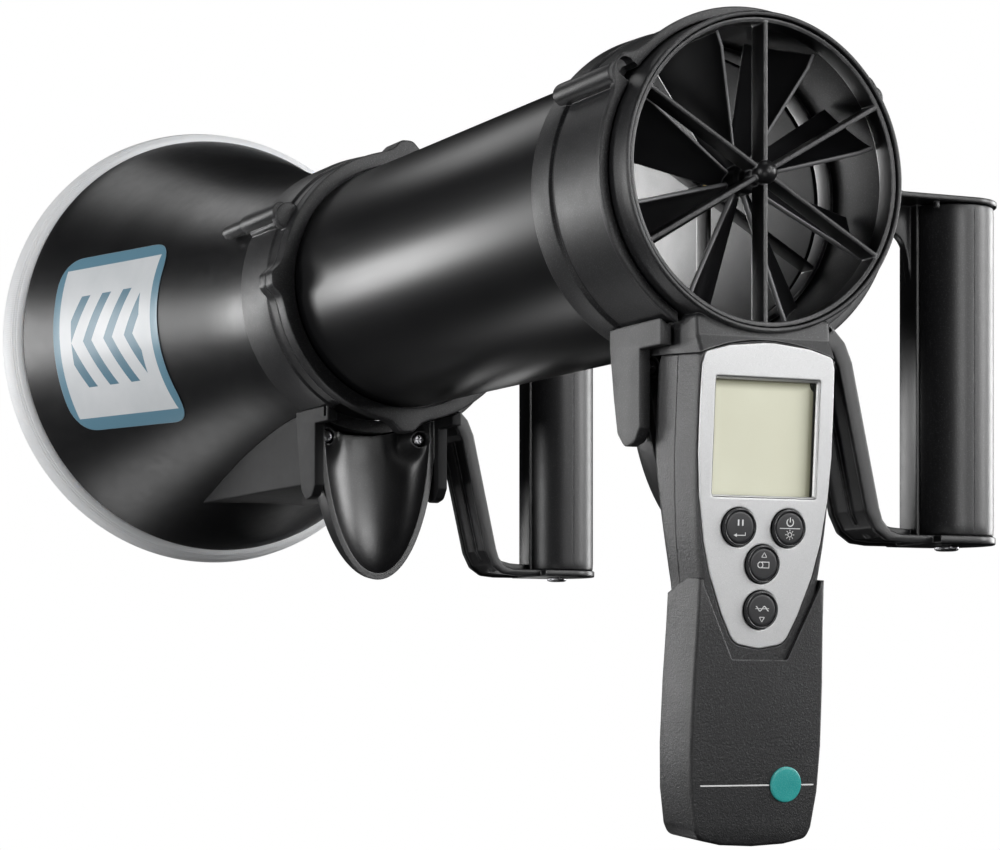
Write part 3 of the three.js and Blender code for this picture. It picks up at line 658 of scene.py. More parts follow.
def fine_angles(centres, half=14, step=0.45, base=1.8):
    s = set(round(k * base, 3) for k in range(int(360 / base)))
    for c in centres:
        k = -half
        while k <= half:
            s.add(round((c + k) % 360, 3))
            k += step
    out, last = [], -9
    for a in sorted(s):
        if a - last > 0.2:
            out.append(rad(a))
            last = a
    return out


def P(*pts, r=0.35, n=3):
    """profile with rounded corners; points are (r, y, gain[, own radius])"""
    out = []
    for p in pts:
        q = (p[0], p[1], p[2] if len(p) > 2 else 0.0)
        if len(p) > 3:
            q = q + ({"r": p[3]},)
        out.append(q)
    return rnd(out, r, n)


tube_g = revolve(P((50.1, 46.6), (50.1, 286.2), (47.8, 286.2), (47.8, 46.6)), 288)
tube_g.m = [1 if all(math.hypot(tube_g.v[i][0], tube_g.v[i][2]) < 48.0 for i in f) else 0 for f in tube_g.f]
# painted light: the bore gets a lighter grey copy of the tube plastic, standing in for light coming down the tube
M["bore"] = plastic("tube_bore_painted_light", (0.045, 0.045, 0.047), (0.065, 0.065, 0.067), 0.46, grain=2300, gdist=0.00008, gstr=0.7, edge=0.0003, var=0.03, painted_glint=0.15)
emit("tube_shell", tube_g, "straightener", [M["tube"], M["bore"]], ["straightener_tube"])

Y0 = 11.2
prof = P((53.1, Y0, 0), (56.2, Y0, 1, .5), (56.2, 13.5, 1, .4), (55.3, 14.3, 1, .3), (55.3, 15.4, 1, .4), (55.3, 16.4, 0, .3),
         (55.3, 44.2, 0, .3), (54.6, 45.0, 0, .3), (54.6, 46.4, 0, .3), (56.0, 47.2, 0, .5), (56.5, 59, 0, .6), (50.9, 59, 0, .3), (50.9, 46.2, 0, 0), (53.1, 46.2, 0, 0))
lug = lugs(57.0, [(35, 5.4, 4.2), (145, 5.4, 4.2)])
g = revolve(prof, bump=lug, angs=fine_angles((35, 145)))
rods = G()
for d in (32, 148):
    x, z = 57.6 * math.cos(rad(d)), 57.6 * math.sin(rad(d))
    rods.join(rod((x, z), 3.9, Y0 + 0.6, 53.1, e1=3.9, e0=0.5))
holes = [rod((q * math.cos(rad(d)), q * math.sin(rad(d))), 3.3, 5.0, 19.0, 40) for d in (35, 145) for q in (56.6, 54.4)]
# the rods are cut by the same holes and by the socket
rm = boolean(mesh_of(rods), [rod((0, 0), 53.15, 0, 60, 200, e0=.1, e1=.1)] + holes)
cm = boolean(mesh_of(g), holes + [rbox(-27.2, 27.2, 10.2, 38, -75, -20, .05)])
bm = bmesh.new(); bm.from_mesh(cm); bm.from_mesh(rm); bm.to_mesh(cm); bm.free()
emit("front_collar_shell", cm, "straightener", M["grain"], ["front_collar"])

prof = P((50.85, 282, 0, .3), (56.5, 282, 1, .6), (56.5, 289.2, 1, .5), (52.4, 289.2, 0, .2), (52.4, 324, 0, .5), (49.8, 324, 0, .4), (49.8, 286.6, 0, 0), (50.85, 286.6, 0, 0))
lug = lugs(57.0, [(0, 4.9, 4.6), (90, 4.9, 4.6), (180, 4.9, 4.6), (270, 4.9, 4.6)])
emit("rear_collar_shell", revolve(prof, bump=lug, angs=fine_angles((0, 90, 180, 270))), "straightener", M["grain"], ["rear_collar"])


# cradle: a smooth oval cup between two cheeks
def cradle(y0, name, body, clear, clear2, node):
    ym = y0 + 23
    def half(z, ax, az):
        t = min(1.0, max(0.0, (-54 - z) / az))
        return ax * math.sqrt(max(0.0, 1 - t * t))
    def depth(z, pts):
        for (a, za), (b, zb) in zip(pts, pts[1:]):
            if za >= z >= zb:
                t = (za - z) / (za - zb)
                return a + (b - a) * t
        return pts[-1][0]
    def bowl(zs, zb, d0, p):
        return [(d0, -40)] + [(max(0.2, d0 * (1 - t ** p) ** (1 / 1.9)), zs + (zb - zs) * t) for t in [i / 40 for i in range(41)]]
    dout = bowl(-66, -121.6, 22, 2.1)
    din = bowl(-58, -118.9, 15.5, 1.9)
    NZ, NU = 64, 56
    vs, fs = [], []
    zt = -44.0
    grids = []
    for ax, az, zb, dp, ex, dy in ((27.3, 67.5, -121.5, dout, 3.4, 0), (24.6, 64.7, -118.7, din, 2.15, 1)):
        rows = []
        for i in range(NZ + 1):
            t = i / NZ
            z = zt + (zb - zt) * (1 - (1 - t) ** 1.7)
            hx = half(z, ax, az)
            D = depth(z, dp)
            row = []
            for j in range(NU + 1):
                a = math.pi * j / NU
                c, s_ = math.cos(a), math.sin(a)
                x = hx * math.copysign(abs(c) ** (2 / ex), c)
                y = D * abs(s_) ** (2 / ex)
                if dy:
                    gsum = sum(math.exp(-(((x - q * 21.0) / 5.2) ** 2 + ((z + 60.5) / 6.5) ** 2)) for q in (-1, 1))
                    y = y * (1 - 0.78 * min(1, gsum))
                row.append((x, ym + y, z))
            rows.append(row)
        grids.append(rows)
    g = G()
    W = NU + 1
    for rows in grids:
        base = len(g.v)
        for r in rows:
            g.v += r
        for i in range(NZ):
            for j in range(NU):
                g.f.append([base + i * W + j, base + (i + 1) * W + j, base + (i + 1) * W + j + 1, base + i * W + j + 1])
                g.m.append(0)
    B = (NZ + 1) * W
    def strip(ia, ib):
        for p, q, r_, s_ in zip(ia, ia[1:], ib[1:], ib):
            g.f.append([p, q, r_, s_])
            g.m.append(0)
    strip([i * W for i in range(NZ + 1)], [B + i * W for i in range(NZ + 1)])
    strip([i * W + NU for i in range(NZ + 1)], [B + i * W + NU for i in range(NZ + 1)])
    strip(list(range(W)), [B + j for j in range(W)])
    cup = boolean(mesh_of(g), [rod((s * 21.6, -60.5), 3.35, ym - 3, ym + 8.2, 36) for s in (-1, 1)]
                  + [rod((0, 0), clear, y0 - 5, y0 + 35.2, 200, e0=.1, e1=.1), rod((0, 0), clear2, y0 + 35.0, y0 + 52, 200, e0=.1, e1=.1)])
    ck = [(y0 + 4.8, -42), (y0 + 4.8, -56), (y0 + 18.8, -56), (y0 + 18.8, -82), (y0 + 22, -86.5), (y0 + 29, -88), (y0 + 34, -83), (y0 + 36.5, -71), (y0 + 39.2, -54), (y0 + 39.2, -42)]
    ck = rnd([ck[0] + ({"r": 0},)] + [p + ({"r": 0.6},) for p in ck[1:4]] + [p + ({"r": 4},) for p in ck[4:8]] + [ck[8] + ({"r": 1},), ck[9] + ({"r": 0},)], 1, 4)
    cheeks = G().join(plate([ck], 26.7, 31, .5, 3, "yz"), plate([ck], -31, -26.7, .5, 3, "yz"))
    cuts = [rod((0, 0), clear, y0 - 5, y0 + 35.2, 200, e0=.1, e1=.1), rod((0, 0), clear2, y0 + 35.0, y0 + 52, 200, e0=.1, e1=.1)]
    if body == "funnel":
        cuts += [rbox(s * 30.9 - 1.1, s * 30.9 + 1.1, y0 + 6.2, y0 + 9.0, -54.0, -46, .1) for s in (-1, 1)]
    cm = boolean(mesh_of(cheeks), cuts)
    bm = bmesh.new(); bm.from_mesh(cup); bm.from_mesh(cm); bm.to_mesh(cup); bm.free()
    while len(cup.materials) < 2:
        cup.materials.append(None)
    for p in cup.polygons:
        p.material_index = 1 if abs(p.center.x) > 26.4 and p.center.z > -90 else 0
    emit(name, cup, body, [M["cup"], M["cheek"] if body == "straightener" else M["rib"]], [node], ang=40)


M["cup"] = plastic("cup_black", (0.0080, 0.0080, 0.0088), (0.0115, 0.0115, 0.0125), 0.33, spec=0.8, grain=2600, gdist=0.00006, gstr=0.5, vor=0.3, edge=0.0007, edge_highlight_amt=0.9, edge_highlight_col=(0.2, 0.2, 0.205), painted_glint=0.14)
cradle(Y0, "front_cradle_cup", "straightener", 56.7, 56.9, "front_cradle")
cradle(289.5, "rear_cradle_cup", "funnel", 58.7, 58.7, "rear_cradle")


def screw(name, body, node, at, r, h0, h1, sr, h2, axis="Y", flip=False, fn=same, slotw=0.7):
    """pan head with a cross recess; the head runs from h0 (outside) to h1, the shank on to h2"""
    d = 1 if h1 > h0 else -1
    k = 8
    head = [(0.0001, h0)] + [(r * 0.55 + (r - r * 0.55) * math.sin(math.pi / 2 * i / k), h0 + d * 0.75 * (1 - math.cos(math.pi / 2 * i / k))) for i in range(k + 1)]
    head += [(r, h1 - d * 0.15), (r - 0.15, h1), (sr, h1)]
    n = 7
    for i in range(n):
        t0 = h1 + (h2 - h1) * (i + 0.25) / n
        t1 = h1 + (h2 - h1) * (i + 0.6) / n
        head += [(sr, t0), (sr - 0.22, t1)]
    head += [(sr, h2 - d * 0.6), (sr * 0.5, h2), (0.0001, h2)]
    g = revolve(head, 48, False, axis=axis, at=at)
    c = 1.25
    lo, hi = min(h0 - d * 1, h0 + d * c), max(h0 - d * 1, h0 + d * c)
    L, Wd = r * 0.58, slotw / 2
    if axis == "Y":
        cr = [rbox(at[0] - L, at[0] + L, lo, hi, at[1] - Wd, at[1] + Wd, .02), rbox(at[0] - Wd, at[0] + Wd, lo, hi, at[1] - L, at[1] + L, .02)]
    else:
        cr = [rbox(at[0] - L, at[0] + L, at[1] - Wd, at[1] + Wd, lo, hi, .02), rbox(at[0] - Wd, at[0] + Wd, at[1] - L, at[1] + L, lo, hi, .02)]
    me = boolean(mesh_of(g), cr)
    if fn is not same:
        for v in me.vertices:
            v.co = Vector(fn(*v.co))
    emit(name, me, body, M["zinc"], [node], ang=30)


for tag, s in (("left", -1), ("right", 1)):
    screw(f"front_cradle_pan_screw_{tag}", "straightener", f"front_cradle_screw_{tag}", (s * 21.6, -60.5), 2.5, Y0 + 27.6, Y0 + 30.4, 1.4, Y0 + 44.4)
    screw(f"rear_cradle_pan_screw_{tag}", "funnel", f"rear_cradle_screw_{tag}", (s * 21.6, -60.5), 2.5, 289.5 + 27.6, 289.5 + 30.4, 1.4, 289.5 + 44.4)


# handles
def handle(yc, body, tag, cr):
    GX, R = 90.0, 17.0
    def top(r, x0, z0, z1, bev=.6):
        pts = [(x0, yc - r), (GX, yc - r)] + [(GX + r * math.sin(rad(a)), yc - r * math.cos(rad(a))) for a in range(6, 180, 6)] + [(GX, yc + r), (x0, yc + r)]
        return plate([pts], z0, z1, bev, 3, "xy")
    g = G()
    g.join(top(R, 42, -2.1, -0.2, .5))
    # outline for a raised lip round the top plate's end; it is computed but not built
    lip_o = [(60, yc - R), (GX, yc - R)] + [(GX + R * math.sin(rad(a)), yc - R * math.cos(rad(a))) for a in range(6, 180, 6)] + [(GX, yc + R), (60, yc + R)]
    # upper gusset and lower web
    g.join(plate([rnd([(42, -1.2), (42, 13.2), (56.8, 7.5), (59.5, 3.6), (63, 1.2), (68, -0.3), (68, -1.2)], 1.2, 3)], yc - 12, yc + 12, .5, 3, "xz"))
    web = [(74.6, -1.2), (74.6, -30), (73.2, -24)] + [(73.2 - 2.0 * t ** 1 - 8.8 * t ** 2.2, -24 + 13.2 * (1 - (1 - t) ** 2)) for t in [i / 10 for i in range(1, 11)]] + [(50, -10.4), (50, -1.2)]
    g.join(plate([web], yc - 1.7, yc + 1.7, .4, 3, "xz"))
    # spine that runs down the grip's inner side
    g.join(plate([rnd([(73.9, -1.4), (73.9, -116.6), (77.5, -116.6), (77.5, -1.4)], .4)], yc - 5.2, yc + 5.2, .45, 3, "xz"))
    # strap with a channelled inner face
    oc = [(22, -50.5), (30, -52.3), (35.6, -55.5), (38.2, -60.5), (49.2, -108.5), (52.4, -114.8), (57.5, -118.2), (64, -118.9), (90, -118.9)]
    ic = [(90, -116.2), (63, -116.0), (58.6, -114.6), (55.6, -111.3), (54.3, -107.3), (43.4, -58.6), (40.6, -52.2), (37, -48.5), (30, -43), (22, -38)]
    full = rnd([p + ({"r": 3},) if 1 < i < 7 else p + ({"r": 0},) for i, p in enumerate(oc)] + [p + ({"r": 2.5},) if 0 < i < 8 else p + ({"r": 0},) for i, p in enumerate(ic)], 1, 3)
    web_o = [(22, -49.0), (30, -50.6), (34.6, -53.6), (36.8, -58.6), (39.6, -60.3), (50.5, -108.1), (53.6, -113.8), (58.2, -116.9), (64.2, -117.5), (90, -117.5)]
    thin = rnd([p + ({"r": 2},) if 1 < i < 8 else p + ({"r": 0},) for i, p in enumerate(web_o)] + [p + ({"r": 2.5},) if 0 < i < 8 else p + ({"r": 0},) for i, p in enumerate(ic)], 1, 3)
    g.join(plate([thin], yc - 10.4, yc + 10.4, .1, 1, "xz"))
    g.join(plate([full], yc - 12, yc - 9.9, .55, 3, "xz"), plate([full], yc + 9.9, yc + 12, .55, 3, "xz"))
    # centre rib in the channel
    rib = [(38.3, -61.3), (49.6, -108.6), (52.0, -112.6), (53.6, -112.2), (51.4, -107.8), (40.4, -60.6)]
    g.join(plate([rib], yc - 0.6, yc + 0.6, .2, 2, "xz"))
    g.join(top(16.6, 76, -118.9, -116.2, .6))
    g.join(plate([rnd([(55.0, -104), (57.2, -109.2), (61.0, -111.8), (66, -113.0), (74.2, -113.6), (74.2, -117.2), (58, -117.2), (53.6, -112), (53.2, -104)], 1.0)], yc - 1.7, yc + 1.7, .4, 3, "xz"))
    # saddle round the collar's side
    n, sad = 40, G()
    a0, a1 = 9.0, -66.0
    sec = rnd([(cr - 0.6, yc - 12), (cr + 3.4, yc - 12), (cr + 3.4, yc + 12), (cr - 0.6, yc + 12)], .6, 3)
    m = len(sec)
    for i in range(n + 1):
        a = rad(a0 + (a1 - a0) * i / n)
        sad.v += [(p[0] * math.cos(a), p[1], p[0] * math.sin(a)) for p in sec]
    for i in range(n):
        for k in range(m):
            sad.f.append([i * m + k, (i + 1) * m + k, (i + 1) * m + (k + 1) % m, i * m + (k + 1) % m]); sad.m.append(0)
    sad.f += [list(range(m)), [n * m + k for k in range(m)]]; sad.m += [0, 0]
    g.join(sad)
    # all of it kept clear of the collar, the cradle and the screw
    me = boolean(mesh_of(g), [rod((0, 0), cr, yc - 40, yc + 40, 240, e0=.1, e1=.1), rod((GX, yc), 2.5, -125, -110, 32, "Z"), rbox(0, 31.4, yc - 40, yc + 40, -130, 0, .05)])
    # small pin under the plate's front edge
    pin = rod((76.5, yc - 13.2), 1.1, -4.4, -1.6, 20, "Z", .35, .2)
    emit(f"{tag}_bracket", me, body, M["satin"], [f"{tag}_handle_bracket"], plus=pin, ang=38)
    # grip: sleeve with soft end radii, a shallow waist line at each end and a fine parting line
    gt, gb, r = -2.4, -115.9, 16.0
    pr = rnd([(0.0001, gt), (r - .2, gt, ), (r, gt - 3.0), (r, gt - 4.2), (r, gb + 4.2), (r, gb + 3.0), (r - .2, gb), (0.0001, gb)], .5, 4, closed=False)
    gg = revolve(pr, 128, False, axis="Z", at=(GX, yc))
    me = boolean(mesh_of(gg), [rod((GX, yc), 1.9, gb - 1, gb + 18, 24, "Z"), rbox(70, 77.9, yc - 5.6, yc + 5.6, -120, 0, .1),
                               rbox(GX - 0.15, GX + 0.15, yc - 17, yc - 15.85, -116.5, -1.5, .02), rbox(GX - 0.15, GX + 0.15, yc + 15.85, yc + 17, -116.5, -1.5, .02)])
    emit(f"{tag}_grip_sleeve", me, body, M["grip"], [f"{tag}_grip"], ang=38)
    screw(f"{tag}_grip_pan_screw", body, f"{tag}_grip_screw", (GX, yc), 4.2, -120.8, -119.3, 1.5, gb + 15.5, axis="Z", slotw=1.0)


handle(28.3, "straightener", "front", 57.0)
handle(319.7, "funnel", "rear", 58.75)

# ---------------------------------------------------------------- funnel
Y0A = 289.5
prof = P((53.1, Y0A, 0, .3), (56.5, Y0A, 1, .5), (56.5, 296.5, 1, .6), (57.6, 297.3, 0, .4), (58.2, 305, 0, 0), (58.2, 324, 0, .4), (57.4, 325, 0, .4), (53.1, 325, 0, .3))
lug = lugs(57.0, [(0, 4.9, 4.6), (90, 4.9, 4.6), (180, 4.9, 4.6)])
g = revolve(prof, bump=lug, angs=fine_angles((0, 90, 180)))
rods = G()
for d in (28.5, 151.5):
    c, s = math.cos(rad(d)), math.sin(rad(d))
    rods.join(rod((61.0 * c, 61.0 * s), 3.9, Y0A + .5, 328.0, e0=.5, e1=1.6), rod((61.0 * c, 61.0 * s), 3.1, 320, 352.6, e1=3.1))
    rods.join(rod((57.4 * c, 57.4 * s), 5.6, Y0A, Y0A + 5.6, e0=.6, e1=1.2))
    # fillet between rod and collar
    for q in (-1, 1):
        a = rad(d + q * 3.4)
        rods.join(rod((58.3 * math.cos(a), 58.3 * math.sin(a)), 1.7, Y0A + 6.5, 323.5, 24, e1=1.2))
rm = boolean(mesh_of(rods), [rod((0, 0), 53.15, 270, 326, 200, e0=.1, e1=.1)])
am = boolean(mesh_of(g), [rbox(-27.2, 27.2, 288.5, 316, -75, -20, .05)])
bm = bmesh.new(); bm.from_mesh(am); bm.from_mesh(rm); bm.to_mesh(am); bm.free()
emit("funnel_adapter_shell", am, "funnel", M["grain"], ["funnel_adapter"])

BELL = [(325.3, 55.4), (330, 55.7), (345, 56.8), (360, 58.7), (375, 61.4), (390, 64.5), (405, 68.1), (420, 72.4), (435, 77.0), (450, 81.9), (465, 86.7), (480, 91.7), (495, 97.0), (502.6, 100.0)]


def catmull(pts, n=6):
    out = []
    for i in range(len(pts) - 1):
        p0, p1, p2, p3 = pts[max(i - 1, 0)], pts[i], pts[i + 1], pts[min(i + 2, len(pts) - 1)]
        for k in range(n):
            t = k / n
            out.append(tuple(0.5 * ((2 * b) + (-a + c) * t + (2 * a - 5 * b + 4 * c - d) * t * t + (-a + 3 * b - 3 * c + d) * t ** 3) for a, b, c, d in zip(p0, p1, p2, p3)))
    out.append(pts[-1])
    return out


BF = catmull(BELL)
def bell_r(y):
    for (a, ra), (b, rb) in zip(BF, BF[1:]):
        if a <= y <= b:
            return ra + (rb - ra) * (y - a) / (b - a)
    return BF[-1][1]


outer = [(r, y) for y, r in BF]
inner = [(r - 2.4, y) for y, r in BF][::-1]
inner[-1] = (52.9, 325.3)
emit("funnel_bell", revolve(outer[:-1] + rnd([outer[-2], (100.0, 502.6), (97.6, 502.6), inner[1]], .4, 3, False)[1:-1] + inner[1:], 288), "funnel", M["bell"], ["funnel_cone"], ang=30)

# soft ring: a flared lip with fine lines before its face
sp = [(98.5, 503.2), (100.6, 503.2), (101.4, 503.6)]
for i, y in enumerate((504.4, 505.8, 507.2)):
    r = 102.0 + 0.75 * i
    sp += [(r + .55, y), (r + .75, y + .5), (r + .25, y + .95)]
sp += [(104.5, 509.0), (105.2, 512.0), (105.45, 515.0), (105.3, 517.6), (104.9, 519.3), (104.2, 519.95), (103.2, 519.95)]
for r in (101.9, 100.9, 99.9):
    sp += [(r + .3, 519.95), (r, 519.5), (r - .3, 519.95)]
sp += [(98.7, 519.95), (98.45, 519.5), (98.45, 504)]
emit("soft_seal_lip", revolve(rnd(sp, .2, 2), 300), "funnel", M["seal"], ["funnel_seal_ring"], ang=50)

# stiffening box under the bell
bs = [(bell_r(y) + 0.35, y) for y in [325.3 + (502.6 - 325.3) * i / 60 for i in range(61)]]
bsolid = revolve([(0.0001, 320)] + [(bs[0][0], 320)] + bs + [(bs[-1][0], 540), (0.0001, 540)], 260, False)
box_o = plate([rnd([(334.5, -50), (334.5, -80.5, {"r": 1.0}), (462, -80.5, {"r": 1.0}), (462, -50)], 0)], -26, 26, .9, 3, "yz")
box_i = plate([[(320, -40), (320, -78.2), (470, -78.2), (470, -40)]], -23.8, 23.8, .3, 1, "yz")
gm = boolean(mesh_of(box_o), [box_i, bsolid])
emit("bell_stiffener", gm, "funnel", M["rib"], ["bell_gusset"], ang=30)

# printed label that follows the bell
lab = rnd([(403, -47), (480, -47), (480, 33), (403, 33)], 14, 10)
NY, NA = 48, 40
g = G()
lo_r, hi_r = [], []
def on_bell(y, z, off):
    r = bell_r(y) + off
    return (-math.sqrt(max(1.0, r * r - z * z)), y, z)
# concentric rows shrunk towards the middle keep the outline smooth
L = []
for (p, q) in zip(dedupe(lab), dedupe(lab)[1:] + dedupe(lab)[:1]):
    nn_ = max(1, int((Vector(q) - Vector(p)).length / 2.0))
    L += [(p[0] + (q[0] - p[0]) * i / nn_, p[1] + (q[1] - p[1]) * i / nn_) for i in range(nn_)]
cy, cz = 441.5, -7.0
K = 14
for side, off in ((0, 0.62), (1, 0.32)):
    base = len(g.v)
    for k in range(K + 1):
        f = 1 - k / K * 0.999
        o2 = off - (0.18 if (k == 0 and side == 0) else 0)
        for (y, z) in L:
            g.v.append(on_bell(cy + (y - cy) * f, cz + (z - cz) * f, o2))
    m = len(L)
    for k in range(K):
        for i in range(m):
            j = (i + 1) % m
            g.f.append([base + k * m + i, base + k * m + j, base + (k + 1) * m + j, base + (k + 1) * m + i]); g.m.append(0)
    g.f.append([base + K * m + i for i in range(m)]); g.m.append(0)
m, B = len(L), (K + 1) * len(L)
for i in range(m):
    j = (i + 1) % m
    g.f.append([i, j, B + j, B + i]); g.m.append(0)
emit("bell_label", g, "funnel", M["label"], ["funnel_label"], ang=40)

# ---------------------------------------------------------------- instrument: vane head
ring = revolve(P((50.95, 0.15, 0, .25), (51.9, 0.0, 0, .3), (52.5, 0.8, 0, .4), (52.5, 45, 0, .4), (49.8, 45, 0, .3), (49.8, 9.4, 0, .15), (50.95, 9.1, 0, .15)), 320)
neck = plate([rnd([(2.6, -47), (2.0, -54), (-1.2, -60.8), (-1.2, -64), (32.5, -64), (33.0, -57), (33.5, -46)], 1.5, 4)], -25.6, 25.6, 1.4, 4, "yz")
arc = [(-30 + 60 * k / 40, 4.95 - 5.1 * ((-30 + 60 * k / 40) / 25.5) ** 2) for k in range(41)]
under = plate([[(x, z) for x, z in arc] + [(30, -20), (-30, -20)]], -10, 45, 0.02, 1, "xz").to(lambda x, y, z: H(x, y, -z))
nm = boolean(mesh_of(neck), [under, rod((0, 0), 51.6, -5, 60, 260, e0=.1, e1=.1)])
rm = mesh_of(ring)
bm = bmesh.new(); bm.from_mesh(rm); bm.from_mesh(nm); bm.to_mesh(rm); bm.free()
emit("vane_head_shell", rm, "instrument", M["grain"], ["vane_housing"], ang=34)


def ribs(y0, y1, rin, th0, th1, R, body_r, taper=0.0, frontr=.55):
    g = G()
    for k in range(6):
        a = rad(30 + 60 * k)
        c, s = math.cos(a), math.sin(a)
        # section: thin leading edge, slight draft to the back
        sec = rnd([(y0, -th0 / 2), (y1, -th1 / 2), (y1, th1 / 2), (y0, th0 / 2)], frontr, 4)
        n = 10
        vs = []
        for i in range(n + 1):
            r = rin + (R - rin) * i / n
            yy = taper * (1 - i / n)
            for (y, t) in sec:
                vs.append((r * c - t * s, y + (yy if y > (y0 + y1) / 2 else 0), r * s + t * c))
        m = len(sec)
        fs = [[i * m + q, (i + 1) * m + q, (i + 1) * m + (q + 1) % m, i * m + (q + 1) % m] for i in range(n) for q in range(m)]
        fs += [list(range(m)), [n * m + q for q in range(m)]]
        g.add(vs, fs)
    return g


g = ribs(1.0, 8.8, 3.3, 1.5, 1.9, 49.3, 3.9)
g.join(revolve(P((49.0, 1.3, 0, .3), (50.4, 1.0, 0, .3), (50.4, 8.8, 0, .2), (49.0, 8.8, 0, .3)), 260))
hub = [(0.0001, -2.35)] + [(3.95 * math.sin(rad(a)), 1.6 - 3.95 * math.cos(rad(a))) for a in range(6, 117, 6)] + [(3.4, 4.4), (3.9, 5.0), (3.9, 8.4), (3.6, 8.8), (3.0, 8.8), (3.0, 4.3), (0.0001, 4.3)]
g.join(revolve(hub, 64, False))
emit("front_guard_spider", g, "instrument", M["guard"], ["front_guard"], ang=40)

g = ribs(37.2, 44.6, 4.0, 1.9, 1.5, 48.1, 4.4)
g.join(revolve(P((47.8, 37.2, 0, .3), (49.4, 37.2, 0, .2), (49.4, 44.6, 0, .2), (47.8, 44.6, 0, .3)), 260))
g.join(revolve([(2.95, 37.2), (4.1, 37.2), (4.4, 37.5), (4.4, 44.2), (4.0, 44.6), (0.0001, 44.6), (0.0001, 42.0), (2.95, 42.0)], 64))
emit("rear_guard_spider", g, "instrument", M["guard"], ["rear_guard"], ang=40)

# impeller: hub and eight cambered blades at 45 degrees
g = G()
g.join(revolve(P((1.9, 11.6, 0, .2), (4.0, 11.6, 0, .9), (5.2, 13.4, 0, .8), (5.2, 30.0, 0, .8), (4.4, 31.4, 0, .6), (1.9, 31.4, 0, .2)), 72))
low = [(4.2, -1.6), (42.8, -12.2), (48.0, -12.6)]
high = [(4.2, 5.2), (48.0, 12.6)]
def pl(pts, r):
    for (a, va), (b, vb) in zip(pts, pts[1:]):
        if r <= b:
            return va + (vb - va) * (r - a) / (b - a)
    return pts[-1][1]
rs = [4.2 + (42.8 - 4.2) * i / 20 for i in range(21)] + [43.6, 44.8, 46.0, 47.0, 47.7, 48.0]
us = [0, .006, .016, .035, .06, .1, .16, .25, .35, .5, .65, .8, .9, .96, .988, 1]
for b in range(8):
    th = rad(25.2 + 45 * b)
    vs = []
    for side in (1, -1):
        for r in rs:
            u0, u1 = pl(low, r), pl(high, r)
            for q in us:
                u = u0 + (u1 - u0) * q
                e = min(q, 1 - q) * (u1 - u0)
                edge = min(1.0, math.sqrt(max(0.0, 1 - (1 - min(1, e / .55)) ** 2)))
                bead = 0.32 * math.exp(-(max(0.0, (u - u0) - 0.7) / 1.1) ** 2)
                half = (0.62 - 0.14 * r / 47.6 + bead) * max(edge, 0.02)
                camber = 0.9 * (4 * q * (1 - q)) * min(1, r / 20)
                t = side * half + camber - 0.35
                c = s = math.sqrt(.5)
                tang, y = u * c - t * s, 19.2 + u * s + t * c
                vs.append((r * math.cos(th) - tang * math.sin(th), y, r * math.sin(th) + tang * math.cos(th)))
    nr, nu = len(rs), len(us)
    fs = []
    for sd in (0, 1):
        o = sd * nr * nu
        for i in range(nr - 1):
            for j in range(nu - 1):
                fs.append([o + i * nu + j, o + (i + 1) * nu + j, o + (i + 1) * nu + j + 1, o + i * nu + j + 1])
    o = nr * nu
    for j in range(nu - 1):
        fs.append([(nr - 1) * nu + j, (nr - 1) * nu + j + 1, o + (nr - 1) * nu + j + 1, o + (nr - 1) * nu + j])
        fs.append([j, j + 1, o + j + 1, o + j])
    for i in range(nr - 1):
        fs.append([i * nu, (i + 1) * nu, o + (i + 1) * nu, o + i * nu])
        fs.append([i * nu + nu - 1, (i + 1) * nu + nu - 1, o + (i + 1) * nu + nu - 1, o + i * nu + nu - 1])
    k0 = len(g.f)
    g.add(vs, fs)
    for k in range(k0, len(g.f)):
        q = [(i_ - (len(g.v) - len(vs))) % nu for i_ in g.f[k]]
        if max(q) <= 3 or (min(q) == 0 and max(q) <= 1):
            g.m[k] = 1
# painted highlight: the blades' leading-edge faces get a light grey copy of the impeller plastic where light catches
# them
M["blade_edge"] = plastic("impeller_edge_painted_highlight", (0.16, 0.16, 0.165), (0.21, 0.21, 0.215), 0.36, grain=3200, gdist=0.00004, gstr=0.35, edge=0.0004, edge_highlight_amt=1.0, edge_highlight_col=(0.42, 0.42, 0.43))
emit("impeller_wheel", g, "impeller", [M["impeller"], M["blade_edge"]], ["impeller"], ang=50)

# ---------------------------------------------------------------- instrument: handset
BODY = [(3.4, 25.9), (32, 25.9), (47, 25.2), (60, 24.2), (72, 22.6), (82, 21.6), (120, 21.4), (146, 20.8), (154.6, 19.4)]
DEPTH = [(-6, 31.6), (30, 31.6), (46, 29.4), (60, 26.8), (76, 25.0), (92, 23.9), (157, 23.6)]


def interp(pts, s):
    if s <= pts[0][0]:
        return pts[0][1]
    for (a, va), (b, vb) in zip(pts, pts[1:]):
        if s <= b:
            return va + (vb - va) * (s - a) / (b - a)
    return pts[-1][1]


BODYS = catmull([(a, b) for a, b in BODY], 5)
DEPTHS = catmull(DEPTH, 5)


def ease(t):
    return t


